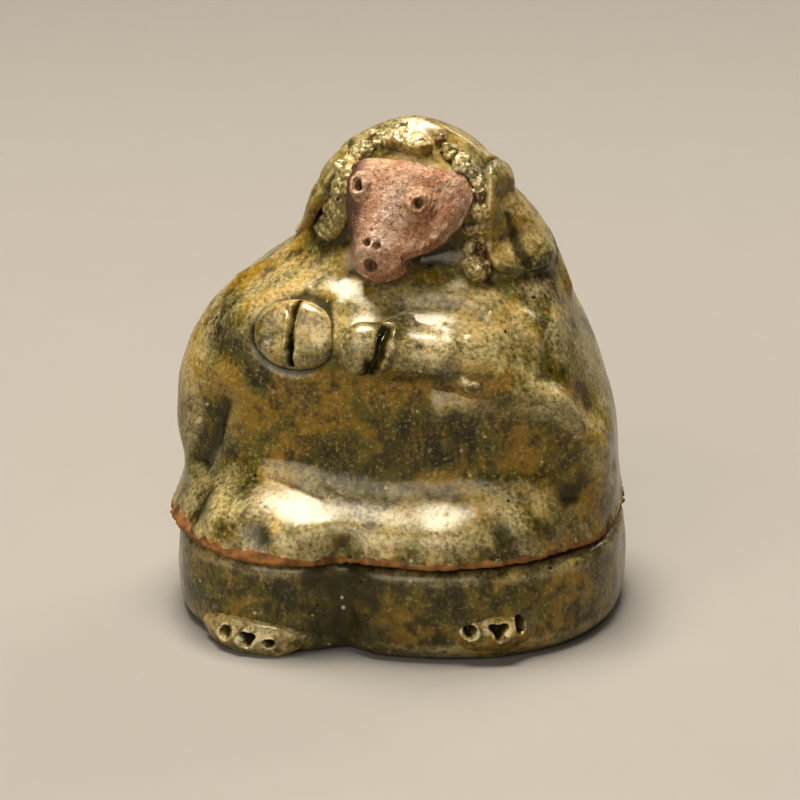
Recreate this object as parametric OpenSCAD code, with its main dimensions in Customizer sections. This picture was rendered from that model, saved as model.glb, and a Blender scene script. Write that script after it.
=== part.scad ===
// Kogo, a small ceramic incense box in the form of a seated monkey.
// The dish below the seam holds the incense. The figure above the seam is a hollow lid that lifts off.
// The figure faces -Y. Left and right are the figure's own, so its left side is +X.

/* [Overall] */
// Width of the figure at the seam
body_w = 62.4; // [54:0.2:72]
// Depth of the figure at the seam
body_d = 52; // [46:0.2:60]
// Height of the seam above the table
seam_z = 13; // [11:0.5:18]
// Height of the lid, from the seam to the crown of the head
lid_h = 57.2; // [50:0.2:66]
// Height of the rounded crown above the middle of the head
crown_h = 8.8; // [7:0.2:11]

/* [Modelled clay] */
// How far the right knee swells out at the seam
knee_h = 2.6; // [0:0.1:4]
// Height of the soft ridges on the chest, arms and thighs
ridge_h = 1.5; // [0:0.1:2]
// Width of the soft ridges, from the crest to where they fade
ridge_w = 4.5; // [3.5:0.1:6]

/* [Seam and walls] */
// How far the dish stands back from the lid's edge
dish_setback = 0.9; // [0:0.1:1.4]
// How far the lid sits askew on the dish, to the figure's right
lid_askew = 0.8; // [0:0.1:1.2]
// Width of the seat under the lid, measured from the lid's edge
seat_w = 6; // [5:0.1:7]
// Thickness of the flange that keeps the lid in place
flange_t = 2.2; // [1.6:0.1:3]
// Height of the flange above the seam
flange_h = 3.2; // [2:0.1:4]
// Clearance between the flange and the lid
flange_clearance = 0.4; // [0.2:0.05:0.8]
// Thinnest wall of the lid above the flange
lid_wall = 3.6; // [2.6:0.1:4.4]
// Height of the hollow inside the lid
hollow_h = 40; // [30:0.5:42]
// Thickness of the dish's floor
floor_t = 4; // [3:0.1:6]
// Rounding of the dish's lower edge
foot_round = 2.4; // [1:0.1:4]
// Rounding of the edges that meet at the seam
seam_round = 1.2; // [0.6:0.1:2]
// Rounding between the dish's wall and its floor
well_round = 3; // [1:0.1:5]
// Film of slip under every piece of clay that is pressed on
slip = 0.2; // [0.1:0.05:0.4]

/* [Face] */
// Width of the face
face_w = 14; // [12:0.1:15]
// Length of the face, from its upper edge to the chin
face_l = 17.2; // [15:0.1:18.4]
// Thickness of the face at its edge
face_edge_t = 1.6; // [1:0.1:2.4]
// Thickness of the face along its middle
face_crown_t = 3; // [2:0.1:4]
// How far the snout stands out from the face
snout_t = 2; // [0.5:0.1:3]
// Width of the snout, from its tip to where it fades
snout_w = 3.4; // [2.4:0.1:5]
// Diameter of the right eye's ring
right_eye_d = 3; // [2.4:0.1:4]
// Diameter of the left eye's ring
left_eye_d = 3.8; // [2.4:0.1:4.4]
// Height of the eye rings
eye_h = 1.3; // [0.8:0.1:2]
// Diameter of the pupil pricked through each ring
pupil_d = 1.5; // [0.8:0.1:1.8]
// Diameter of a nostril
nostril_d = 0.9; // [0.6:0.1:1.4]
// Diameter of the mouth
mouth_d = 1.8; // [1:0.1:2.4]
// Depth of the nostrils and the mouth
face_prick = 1.5; // [0.8:0.1:2]

/* [Hair and ears] */
// Length of the brow pad
brow_l = 6.4; // [4:0.1:7]
// Height of the brow pad
brow_w = 3.6; // [2.4:0.1:4]
// Gap between the face and the brow pad
brow_gap = 0.8; // [0.4:0.1:1.4]
// Thickness of the brow pad
brow_t = 2; // [1:0.1:3]
// Diameter of the largest crumb of hair round the face
crumb_d = 2.6; // [1.6:0.1:3]
// How far the crumbs stand out from the head
crumb_t = 1.6; // [0.8:0.1:2.4]
// Gap between the face and the crumbs
crumb_gap = 0.3; // [0.2:0.05:0.8]
// Gap between the crumbs, the lock of hair and the ears
hair_gap = 0.5; // [0.3:0.05:1]
// Length of the right ear flap
right_ear_l = 12.4; // [9:0.1:15]
// Width of the right ear flap
right_ear_w = 8.4; // [6:0.1:9]
// Thickness of the right ear flap
right_ear_t = 2.2; // [1.4:0.1:5]
// Length of the left ear flap
left_ear_l = 16; // [10:0.1:17]
// Width of the left ear flap
left_ear_w = 10.4; // [7:0.1:11]
// Thickness of the left ear flap
left_ear_t = 1.8; // [1.2:0.1:3]
// Length of the lock of hair beside the right ear
lock_l = 6.6; // [4:0.1:8]
// Width of the lock of hair
lock_w = 2.4; // [1.6:0.1:3]
// Thickness of the lock of hair
lock_t = 1.8; // [1:0.1:2.6]

/* [Arms and feet] */
// Diameter of the right hand
hand_d = 11; // [8:0.1:12]
// Thickness of the right hand
hand_t = 2.2; // [1.6:0.1:3]
// Width of the left arm
arm_w = 6.4; // [5:0.1:8]
// Thickness of the left arm
arm_t = 3.2; // [2.2:0.1:4]
// Width of the slit in each hand
slit_w = 1; // [0.6:0.1:1.6]
// Depth of the slit in each hand
slit_depth = 1; // [0.6:0.1:1.4]
// Length of each foot
foot_l = 18; // [14:0.2:22]
// Height of each foot
foot_h = 6; // [4.5:0.1:8]
// How far the right foot stands out from the dish
right_foot_t = 2.6; // [1.6:0.1:4]
// How far the left foot stands out from the dish
left_foot_t = 1.4; // [1:0.1:3]
// Diameter of the pricks between the toes
toe_d = 1.6; // [1:0.1:2]
// Depth of the pricks between the toes
toe_depth = 0.8; // [0.4:0.1:0.9]

/* [Hidden] */

glaze_olive = "#66531f";
glaze_amber = "#8a6a2b";
bare_clay = "#b98a68";

// Points round the body, and points round each pressed-on piece
body_points = 72;
pad_points = 24;
crumb_points = 8;

half_w = body_w / 2;
half_d = body_d / 2;
head_mid = lid_h - crown_h;

// Sections of the figure from the seam up to the middle of the head. Each row gives the share of that
// height, then the middle of the section and its reach to the figure's left, right, front and back, all
// as shares of half the width or half the depth.
STATION_X = 1;
STATION_Y = 2;
STATION_LEFT = 3;
STATION_RIGHT = 4;
STATION_FRONT = 5;
STATION_BACK = 6;
stations = [
    [0.00, 0.00,  0.00, 1.01, 1.03, 1.00, 1.00],
    [0.14, 0.00,  0.00, 0.98, 0.96, 0.85, 1.00],
    [0.31, 0.00,  0.00, 0.96, 0.98, 0.77, 0.98],
    [0.47, 0.00,  0.00, 0.89, 0.94, 0.77, 0.90],
    [0.63, 0.00,  0.00, 0.79, 0.80, 0.73, 0.77],
    [0.75, 0.02, -0.02, 0.69, 0.60, 0.57, 0.65],
    [0.86, 0.05, -0.08, 0.57, 0.43, 0.43, 0.53],
    [1.00, 0.10, -0.17, 0.37, 0.36, 0.44, 0.46]
];

// The plan is a rounded box up to the chest and an ellipse at the head. The crown is a little pointed.
BODY_SQUARENESS = 2.4;
HEAD_SQUARENESS = 2;
CHEST_SHARE = 0.6;
CROWN_SQUARENESS = 1.7;

// Knees and the notch between them: azimuth, rise as a share of the right knee's, and spread in degrees.
// They fade out above the lap.
knees = [
    [-125,  1.00, 26],
    [ -99, -1.00,  8],
    [ -62,  0.23, 20]
];
KNEE_SHARE = 0.26;

// Soft ridges and creases of the modelled clay: the azimuth and share of height of each spot they pass,
// then the rise and the spread as shares of ridge_h and ridge_w
ridges = [
    [[[-145, 0.67], [-95, 0.65]], 1.00, 1.00],
    [[[-95, 0.65], [-30, 0.63]], 1.00, 1.00],
    [[[-65, 0.44], [-32, 0.44]], 0.93, 0.89],
    [[[-32, 0.44], [-16, 0.29]], 0.93, 0.89],
    [[[-16, 0.29], [-12, 0.16]], 0.80, 0.89],
    [[[-165, 0.63], [-160, 0.29]], 0.80, 1.11],
    [[[-147, 0.38], [-153, 0.20]], -1.07, 0.49],
    [[[-135, 0.09], [-112, 0.10]], 0.53, 0.78],
    [[[-70, 0.11], [-44, 0.12]], 0.53, 0.78],
    // The roll of the lap and the hollow between it and the belly
    [[[-135, 0.12], [-98, 0.095], [-64, 0.10], [-40, 0.12]], 0.87, 0.71],
    [[[-142, 0.22], [-120, 0.235], [-105, 0.205], [-80, 0.18], [-66, 0.19], [-45, 0.222]], -0.40, 0.67],
    // The shelf of the chest and the hollow behind the raised thigh
    [[[-138, 0.715], [-108, 0.722], [-72, 0.75], [-35, 0.735]], 0.47, 0.44],
    [[[-30, 0.49], [-21, 0.41], [-14, 0.32], [-10, 0.20]], -0.53, 0.44]
];

function clamp(value, low, high) = max(low, min(high, value));
function mix(a, b, t) = a + (b - a) * t;
function ease(low, high, value) = let (t = clamp((value - low) / (high - low), 0, 1)) t^2 * (3 - 2 * t);
function degrees(arc, r) = arc / r * 180 / PI;
function sum(values) = values * [for (value = values) 1];
function arc_steps(count) = [for (k = [0:count]) 90 * k / count];

// Stations joined by one smooth curve, which is upright where the crown begins
function station_index(share, k = 0) =
    k >= len(stations) - 2 || share < stations[k + 1][0] ? k : station_index(share, k + 1);
function station_slope(k, column) =
    let (before = stations[max(k - 1, 0)], after = stations[k + 1])
    k == len(stations) - 1 ? 0 : (after[column] - before[column]) / (after[0] - before[0]);
function station_at(share, column) =
    let (
        k = station_index(share),
        low = stations[k],
        high = stations[k + 1],
        run = high[0] - low[0],
        t = (share - low[0]) / run
    )
    (2 * t^3 - 3 * t^2 + 1) * low[column] + (t^3 - 2 * t^2 + t) * run * station_slope(k, column)
    + (3 * t^2 - 2 * t^3) * high[column] + (t^3 - t^2) * run * station_slope(k + 1, column);

function height_share(z) = clamp((z - seam_z) / head_mid, 0, 1);
function share_z(share) = seam_z + share * head_mid;
function section_middle(share) =
    [half_w * station_at(share, STATION_X), half_d * station_at(share, STATION_Y)];

function plan_r(az, share) =
    let (
        reach_x = half_w * station_at(share, cos(az) > 0 ? STATION_LEFT : STATION_RIGHT),
        reach_y = half_d * station_at(share, sin(az) > 0 ? STATION_BACK : STATION_FRONT),
        n = mix(BODY_SQUARENESS, HEAD_SQUARENESS, clamp((share - CHEST_SHARE) / (1 - CHEST_SHARE), 0, 1))
    )
    (abs(cos(az) / reach_x)^n + abs(sin(az) / reach_y)^n)^(-1 / n);

function turn_between(a, b) = (a - b + 540) % 360 - 180;
function knee_rise(az, share) =
    let (fade = clamp(1 - share / KNEE_SHARE, 0, 1))
    fade * knee_h * sum([for (knee = knees) knee[1] * exp(-(turn_between(az, knee[0]) / knee[2])^2)]);

// Distance from a spot to a stroke, both unrolled onto a flat sheet
function stroke_distance(spot, start, end) =
    let (
        run = end - start,
        t = clamp((spot - start) * run / (run * run), 0, 1)
    )
    norm(spot - start - t * run);
function unrolled(az, share) = [turn_between(az, -90) * PI / 180 * half_d, share * head_mid];
function path_distance(spot, path) =
    min([for (k = [1:len(path) - 1]) stroke_distance(spot, path[k - 1], path[k])]);
ridge_paths = [for (ridge = ridges) [for (at = ridge[0]) unrolled(at[0], at[1])]];
function ridge_rise(az, share) =
    let (spot = unrolled(az, share))
    ridge_h * sum([
        for (k = [0:len(ridges) - 1])
        ridges[k][1] * exp(-(path_distance(spot, ridge_paths[k]) / (ridge_w * ridges[k][2]))^2)
    ]);

// Radius of the plan at the seam, which the dish and the lid share
function seam_r(az) = plan_r(az, 0) + knee_rise(az, 0);

// Surfaces take a spot, which is an azimuth in degrees and a height in millimetres
function around(middle, az, r, z) = [middle[0] + r * cos(az), middle[1] + r * sin(az), z];
function crown_share(z) =
    let (rise = clamp((z - seam_z - head_mid) / crown_h, 0, 1))
    (1 - rise^CROWN_SQUARENESS)^(1 / CROWN_SQUARENESS);
function lid_r(az, z) =
    let (share = height_share(z))
    (plan_r(az, share) + knee_rise(az, share) + ridge_rise(az, share)) * crown_share(z);
lid_form = function (spot)
    around(section_middle(height_share(spot[1])), spot[0], lid_r(spot[0], spot[1]), spot[1]);
function dish_r(az) = seam_r(az) - dish_setback + lid_askew * cos(az);
dish_form = function (spot) around([0, 0], spot[0], dish_r(spot[0]), spot[1]);

// Distance from the middle of the figure's section to the lid
function girth_r(spot) = lid_r(spot[0], spot[1]);
AZIMUTH_STEP = [0.5, 0];
HEIGHT_STEP = [0, 0.2];
function normal_at(form, spot) =
    let (
        across = form(spot + AZIMUTH_STEP) - form(spot - AZIMUTH_STEP),
        up = form(spot + HEIGHT_STEP) - form(spot - HEIGHT_STEP),
        outward = cross(across, up)
    )
    outward / norm(outward);
function lifted(form, spot, out) = form(spot) + out * normal_at(form, spot);

// A flat sheet laid on a surface about one spot: it turns [across, up] in millimetres into a spot
function sheet_on(form, spot, roll = 0) =
    let (
        r = norm([form(spot)[0], form(spot)[1]] - section_middle(height_share(spot[1]))),
        outward = normal_at(form, spot),
        rise = norm([outward[0], outward[1]])
    )
    function (p) spot + [
        degrees(p[0] * cos(roll) - p[1] * sin(roll), r),
        (p[0] * sin(roll) + p[1] * cos(roll)) * rise
    ];

// A closed solid skinned over rings of equal length, with a fan of triangles at both ends
function middle_of(points) = [for (p = points) 1] * points / len(points);
module skin(rings) {
    n = len(rings[0]);
    last = len(rings) - 1;
    points = concat([for (ring = rings) each ring], [middle_of(rings[0]), middle_of(rings[last])]);
    first_cap = n * len(rings);
    last_cap = first_cap + 1;
    walls = [
        for (i = [0:last - 1], k = [0:n - 1])
        let (next = (k + 1) % n, a = n * i, b = n * (i + 1))
        each [[a + k, a + next, b + next], [a + k, b + next, b + k]]
    ];
    caps = [
        for (k = [0:n - 1])
        let (next = (k + 1) % n, b = n * last)
        each [[first_cap, next, k], [last_cap, b + k, b + next]]
    ];
    polyhedron(points, concat(walls, caps), convexity = 10);
}

// A pad of clay pressed onto a surface. The outline lies on the sheet, and rise gives the pad's thickness
// at a share of the way out from its middle.
PAD_SHARES = [0.12, 0.45, 0.75, 0.93, 1];
BACK_SHARES = [1, 0.8, 0.58, 0.35, 0.12];
module pad(form, sheet, outline, rise) {
    front = [for (s = PAD_SHARES) [for (p = outline) lifted(form, sheet(p * s), slip + rise(p * s, s))]];
    back = [for (s = BACK_SHARES) [for (p = outline) lifted(form, sheet(p * s), slip)]];
    skin(concat(front, back));
}
function oval(l, w, count = pad_points) =
    [for (k = [0:count - 1]) let (a = 360 * k / count) [l / 2 * cos(a), w / 2 * sin(a)]];
function dome(edge_t, crown_t) = function (p, s) edge_t + (crown_t - edge_t) * (1 - s^2);

// Thickness of each kind of pad at its edge, as a share of its thickness in the middle
FOOT_EDGE = 0.55;
HAND_EDGE = 0.7;
HAIR_EDGE = 0.5;
CRUMB_EDGE = 0.4;
EAR_EDGE = 0.6;

// An oval pad on the lid, thicker in its middle
module pressed_oval(spot, l, w, edge_t, crown_t, roll = 0, count = pad_points) {
    pad(lid_form, sheet_on(lid_form, spot, roll), oval(l, w, count), dome(edge_t, crown_t));
}

// Children stand on a form, with their Z axis outwards and their Y axis up the sheet
module on_form(form, spot, out = 0, roll = 0) {
    outward = normal_at(form, spot);
    along = form(spot + AZIMUTH_STEP) - form(spot - AZIMUTH_STEP);
    across = along / norm(along);
    up = cross(outward, across);
    at = lifted(form, spot, out);
    multmatrix([
        [across[0], up[0], outward[0], at[0]],
        [across[1], up[1], outward[1], at[1]],
        [across[2], up[2], outward[2], at[2]],
        [0, 0, 0, 1]
    ])
    rotate(roll) children();
}

azimuths = [for (k = [0:body_points - 1]) 360 * k / body_points];

// The dish, from the middle of its floor out over the flange and the seat and down to its underside
DISH_STEPS = 3;
flange_edge = flange_t / 4;
module base_dish() {
    well = seat_w + flange_t;
    top = seam_z + flange_h;
    inside = concat(
        [for (a = arc_steps(DISH_STEPS))
            [well + well_round * (1 - sin(a)), floor_t + well_round * (1 - cos(a))]],
        [[well, top - flange_edge], [well - flange_edge, top], [seat_w + flange_edge, top],
         [seat_w, top - flange_edge], [seat_w, seam_z]]
    );
    outside = concat(
        [for (a = arc_steps(DISH_STEPS)) [seam_round * (1 - sin(a)), seam_z - seam_round * (1 - cos(a))]],
        [for (a = arc_steps(DISH_STEPS)) [foot_round * (1 - cos(a)), foot_round * (1 - sin(a))]]
    );
    color(glaze_olive)
    skin(concat(
        [for (row = inside) [for (az = azimuths) around([0, 0], az, seam_r(az) - row[0], row[1])]],
        [for (row = outside) [for (az = azimuths) around([0, 0], az, dish_r(az) - row[0], row[1])]]
    ));
}

// A foot is an oval, cut off below its middle, with pricks between its toes
foot_below = 0.4 * foot_h;
foot_above = foot_h - foot_below;
foot_outline = [for (p = oval(foot_l, 2 * foot_above)) [p[0], max(p[1], -foot_below)]];
module foot(az, middle_z, foot_t, toes) {
    spot = [az, middle_z];
    sheet = sheet_on(dish_form, spot);
    difference() {
        pad(dish_form, sheet, foot_outline, dome(foot_t * FOOT_EDGE, foot_t));
        for (toe = toes)
            on_form(dish_form, sheet([toe[0] * foot_l, toe[1] * foot_h]), slip + foot_t - toe_depth)
                cylinder(d = toe_d, h = foot_t + toe_depth, $fn = 24);
    }
}
// Toes are placed by shares of the foot's length and height
right_foot_az = -120;
right_foot_low = 0.2;
right_toes = [[-0.23, -0.03], [-0.07, -0.05], [0.09, -0.07]];
left_foot_az = -54;
left_foot_low = 1.6;
left_toes = [[-0.20, 0.15], [0.01, 0.15], [0.19, 0.20]];
module right_foot() {
    color(glaze_amber) foot(right_foot_az, right_foot_low + foot_below, right_foot_t, right_toes);
}
module left_foot() {
    color(glaze_amber) foot(left_foot_az, left_foot_low + foot_below, left_foot_t, left_toes);
}

// The lid, from its crown down the outside to the seam and up into the hollow
BODY_RINGS = 34;
CROWN_RINGS = 7;
HOLLOW_RINGS = 9;
HOLLOW_TOP = 0.957;
HOLLOW_SQUARENESS = 2.6;
module lid_shell() {
    flange_top = seam_z + flange_h + flange_clearance;
    outside_z = concat(
        [for (k = [CROWN_RINGS - 1:-1:1]) share_z(1) + crown_h * sin(90 * k / CROWN_RINGS)],
        [for (k = [BODY_RINGS:-1:1]) mix(seam_z + seam_round, share_z(1), k / BODY_RINGS)]
    );
    outside = [for (z = outside_z) [for (az = azimuths) lid_form([az, z])]];
    rim = [
        for (a = arc_steps(DISH_STEPS))
        let (inset = seam_round * (1 - cos(a)), z = seam_z + seam_round * (1 - sin(a)))
        [for (az = azimuths) around([0, 0], az, lid_r(az, z) - inset, z)]
    ];
    mouth = [for (z = [seam_z, flange_top]) [for (az = azimuths) around([0, 0], az, mouth_r(az), z)]];
    hollow = [
        for (k = [1:HOLLOW_RINGS])
        let (t = HOLLOW_TOP * k / HOLLOW_RINGS, z = mix(flange_top, seam_z + hollow_h, sin(90 * t)))
        [for (az = azimuths) around([0, 0], az, hollow_r(az, z), z)]
    ];
    color(glaze_olive) skin(concat(outside, rim, mouth, hollow));
}
function mouth_r(az) = seam_r(az) - seat_w + flange_clearance;
function hollow_r(az, z) =
    let (dome_share = (1 - ((z - seam_z) / hollow_h)^HOLLOW_SQUARENESS)^(1 / HOLLOW_SQUARENESS))
    min(mouth_r(az) * dome_share, lid_r(az, z) - lid_wall);

// The left arm is a roll of clay laid across the chest. It is round at the hand, then it spreads, flattens
// and fades out towards the elbow.
left_arm_path = [[-100.5, 0.61], [-81, 0.60], [-61, 0.57], [-42, 0.52], [-25, 0.46]];
ARM_RINGS = 34;
ARM_SIDES = 10;
ARM_EDGE = 0.12;
ARM_TIP = 0.1;
HAND_ROUND = 0.09;
ELBOW_ROUND = 0.14;
ELBOW_SPREAD = 1.55;
ELBOW_FLATNESS = 0.72;
HAND_SHARE = 0.15;
left_slit_roll = -25;
function path_spot(path, t) =
    let (k = min(floor(t * (len(path) - 1)), len(path) - 2), s = t * (len(path) - 1) - k)
    [mix(path[k][0], path[k + 1][0], s), share_z(mix(path[k][1], path[k + 1][1], s))];
module left_arm() {
    sheet_up = function (spot, up) sheet_on(lid_form, spot)([0, up]);
    rounded = function (t) mix(ARM_TIP, 1, sqrt(1 - (1 - clamp(t, 0, 1))^2));
    rings = [
        for (i = [0:ARM_RINGS])
        let (
            t = (i / ARM_RINGS)^1.5,
            spot = path_spot(left_arm_path, t),
            spread = ease(0.12, 0.34, t),
            hand = rounded(t / HAND_ROUND),
            w = arm_w / 2 * mix(1, ELBOW_SPREAD, spread) * min(hand, rounded((1 - t) / ELBOW_ROUND)),
            h = arm_t * mix(1, ELBOW_FLATNESS, spread) * (1 - ease(0.4, 1, t)) * hand
        )
        concat(
            [for (k = [0:ARM_SIDES])
                let (a = 180 * k / ARM_SIDES, section = mix(sin(a), (1 + cos(180 * cos(a))) / 2, spread))
                lifted(lid_form, sheet_up(spot, -w * cos(a)), slip + max(arm_t * ARM_EDGE, h * section))],
            [for (k = [1:-0.25:-1]) lifted(lid_form, sheet_up(spot, w * k), slip)]
        )
    ];
    color(glaze_amber)
    difference() {
        skin(rings);
        on_form(lid_form, path_spot(left_arm_path, HAND_SHARE), slip + arm_t - slit_depth, left_slit_roll)
            translate([-slit_w / 2, -arm_w, 0]) cube([slit_w, arm_w * 2, arm_t]);
    }
}

right_hand_spot = [-121, share_z(0.615)];
right_slit_l = 0.8 * hand_d;
module right_hand() {
    color(glaze_amber)
    difference() {
        pressed_oval(right_hand_spot, hand_d, hand_d, hand_t * HAND_EDGE, hand_t);
        on_form(lid_form, right_hand_spot, slip + hand_t - slit_depth)
            translate([-slit_w / 2, -right_slit_l / 2, 0]) cube([slit_w, right_slit_l, hand_t]);
    }
}

// The face is a leaf of bare red clay, wide at the brow and narrow at the snout. Its corners and features
// are placed by shares of half its width and half its length.
face_spot = [-90, share_z(0.93)];
function on_face(share) = [share[0] * face_w / 2, share[1] * face_l / 2];
face_corners = [for (share = [
    [ 1.03,  0.72], [ 0.14,  0.91], [-0.69,  0.88], [-0.89,  0.26], [-0.80, -0.37],
    [-0.54, -0.93], [-0.17, -1.09], [ 0.29, -0.91], [ 0.77, -0.30], [ 1.09,  0.40]
]) on_face(share)];
RIGHT_CORNER = 3;
UPPER_CORNER = 1;
snout_at = on_face([-0.23, -0.70]);
function round_through(corners, t) =
    let (n = len(corners), k = floor(t * n), s = t * n - k,
        a = corners[(k + n - 1) % n], b = corners[k % n], c = corners[(k + 1) % n], d = corners[(k + 2) % n])
    (2 * b + (c - a) * s + (2 * a - 5 * b + 4 * c - d) * s^2 + (3 * b - a - 3 * c + d) * s^3) / 2;
face_outline = [for (k = [0:pad_points * 2 - 1]) round_through(face_corners, k / (pad_points * 2))];
face_sheet = sheet_on(lid_form, face_spot);
function face_t(p, s) =
    dome(face_edge_t, face_crown_t)(p, s) + snout_t * exp(-(norm(p - snout_at) / snout_w)^2) * (1 - s^4);
function face_share(p) =
    max([for (k = [0:len(face_outline) - 1])
        let (edge = face_outline[k], next = face_outline[(k + 1) % len(face_outline)],
            across = edge[0] * next[1] - edge[1] * next[0],
            u = (p[0] * next[1] - p[1] * next[0]) / across, v = (edge[0] * p[1] - edge[1] * p[0]) / across)
        u >= 0 && v >= 0 ? u + v : 0]);
face_middle_r = girth_r(face_spot);
face_rise = norm([for (k = [0, 1]) normal_at(lid_form, face_spot)[k]]);
face_form = function (spot)
    let (p = [(spot[0] - face_spot[0]) * PI / 180 * face_middle_r, (spot[1] - face_spot[1]) / face_rise])
    lifted(lid_form, spot, slip + face_t(p, face_share(p)));
right_eye_at = on_face([-0.53, 0.60]);
left_eye_at = on_face([0.27, 0.50]);
nostrils_at = [on_face([-0.43, -0.37]), on_face([-0.20, -0.42])];
mouth_at = on_face([-0.24, -0.88]);
EYE_TAPER = 0.8;
module face_plaque() {
    color(bare_clay)
    difference() {
        pad(lid_form, face_sheet, face_outline, function (p, s) face_t(p, s));
        for (p = nostrils_at) face_prick_at(p, nostril_d);
        face_prick_at(mouth_at, mouth_d);
    }
}
module face_prick_at(p, d) {
    on_form(face_form, face_sheet(p), -face_prick) cylinder(d = d, h = face_prick * 2, $fn = 24);
}
module eye_ring(p, d) {
    on_form(face_form, face_sheet(p))
        difference() {
            cylinder(d1 = d, d2 = d * EYE_TAPER, h = eye_h, $fn = 32);
            translate([0, 0, -eye_h]) cylinder(d = pupil_d, h = eye_h * 3, $fn = 24);
        }
}
module right_eye_ring() {
    color(bare_clay) eye_ring(right_eye_at, right_eye_d);
}
module left_eye_ring() {
    color(bare_clay) eye_ring(left_eye_at, left_eye_d);
}

brow_at = [0, face_corners[UPPER_CORNER][1] + brow_gap + brow_w / 2];
module brow_pad() {
    color(glaze_amber) pressed_oval(face_sheet(brow_at), brow_l, brow_w, brow_t * HAIR_EDGE, brow_t);
}

// Crumbs of clay stand round the face as hair. One run follows the right edge of the face, one the upper
// left edge, and one goes straight down beside the left cheek.
RUN_POINTS = 12;
CRUMB_VARIATION = 0.16;
crumb_pitch = crumb_d + crumb_gap;
function beside_face(t) =
    let (edge = round_through(face_corners, (t + 1) % 1))
    edge * (1 + (crumb_gap + crumb_d / 2) / norm(edge));
function edge_run(start, end) = [for (k = [0:RUN_POINTS]) beside_face(mix(start, end, k / RUN_POINTS))];
UPPER_RUN_END = -0.07;
cheek_turn = -46;
cheek_top = beside_face(UPPER_RUN_END) + crumb_pitch * [cos(cheek_turn), sin(cheek_turn)];
cheek_run = [cheek_top, cheek_top + on_face([-0.23, -1.28])];
crumb_runs = [edge_run(0.21, 0.46), edge_run(0.04, UPPER_RUN_END), cheek_run];
function run_length(run) = sum([for (k = [1:len(run) - 1]) norm(run[k] - run[k - 1])]);
function along(run, distance, k = 0) =
    let (step = norm(run[k + 1] - run[k]))
    distance <= step || k >= len(run) - 2
        ? mix(run[k], run[k + 1], distance / step)
        : along(run, distance - step, k + 1);
module hair_crumbs() {
    color(glaze_amber)
    for (run = crumb_runs, k = [0:floor(run_length(run) / crumb_pitch)]) {
        d = crumb_d * (1 - CRUMB_VARIATION * (1 - sin(137 * k)));
        spot = face_sheet(along(run, k * crumb_pitch));
        pressed_oval(spot, d, d, crumb_t * CRUMB_EDGE, crumb_t, count = crumb_points);
    }
}

// The lock of hair and the ears follow each other round the head, outside the crumbs
function beside(spot, distance) =
    let (half_way = spot + [degrees(distance / 2, girth_r(spot)), 0])
    spot + [degrees(distance, girth_r(half_way)), 0];
lock_up = -2.6;
right_ear_up = 2.8;
left_ear_up = -3.6;
lock_roll = -15;
right_ear_roll = -15;
left_ear_roll = -8;
right_edge = face_sheet([face_corners[RIGHT_CORNER][0] - crumb_gap - crumb_pitch, lock_up]);
right_lock_spot = beside(right_edge, -hair_gap - lock_w);
right_ear_spot = beside(right_lock_spot, -lock_w - hair_gap - right_ear_w / 2) + [0, right_ear_up];
left_ear_spot = beside(face_sheet(cheek_top), crumb_d / 2 + hair_gap + left_ear_w / 2) + [0, left_ear_up];
module right_hair_lock() {
    color(glaze_amber)
    pressed_oval(right_lock_spot, lock_w, lock_l, lock_t * HAIR_EDGE, lock_t, lock_roll);
}
module right_ear_flap() {
    color(glaze_amber)
    pressed_oval(
        right_ear_spot, right_ear_w, right_ear_l, right_ear_t * EAR_EDGE, right_ear_t, right_ear_roll
    );
}
module left_ear_flap() {
    color(glaze_amber)
    pressed_oval(
        left_ear_spot, left_ear_w, left_ear_l, left_ear_t * EAR_EDGE, left_ear_t, left_ear_roll
    );
}

base_dish();
right_foot();
left_foot();
lid_shell();
left_arm();
right_hand();
face_plaque();
right_eye_ring();
left_eye_ring();
brow_pad();
hair_crumbs();
right_hair_lock();
right_ear_flap();
left_ear_flap();
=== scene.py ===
"""Looks of a small ceramic incense box in the form of a seated monkey, modelled by hand and ash glazed."""

import itertools
import math
from collections import namedtuple

import bmesh
import bpy
import numpy as np
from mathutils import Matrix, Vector


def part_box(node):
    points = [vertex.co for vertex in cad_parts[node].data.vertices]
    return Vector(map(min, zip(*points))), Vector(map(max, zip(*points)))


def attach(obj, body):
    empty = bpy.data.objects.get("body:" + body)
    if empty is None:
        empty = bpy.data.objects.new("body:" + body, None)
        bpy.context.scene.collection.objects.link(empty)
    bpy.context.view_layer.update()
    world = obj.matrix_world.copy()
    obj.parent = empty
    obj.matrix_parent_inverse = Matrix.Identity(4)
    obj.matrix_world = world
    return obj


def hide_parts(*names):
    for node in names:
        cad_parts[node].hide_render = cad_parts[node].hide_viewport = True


bl_info = {
    "name": "Monkey incense box",
    "version": (1, 0, 0),
    "blender": (4, 5, 0),
    "location": "View3D > Sidebar > Incense box",
    "description": "Models and glazes a small ceramic incense box in the form of a seated monkey",
    "category": "Add Mesh",
}

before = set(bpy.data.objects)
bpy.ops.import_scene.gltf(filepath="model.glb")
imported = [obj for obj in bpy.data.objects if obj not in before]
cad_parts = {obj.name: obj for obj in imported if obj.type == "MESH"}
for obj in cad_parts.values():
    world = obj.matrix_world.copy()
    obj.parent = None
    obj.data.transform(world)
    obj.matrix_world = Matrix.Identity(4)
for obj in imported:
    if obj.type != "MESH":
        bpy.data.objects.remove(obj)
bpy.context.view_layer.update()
MM = 0.001
SEAM_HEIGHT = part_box("lid_shell")[0].z
AXIS = np.zeros(2)

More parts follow.
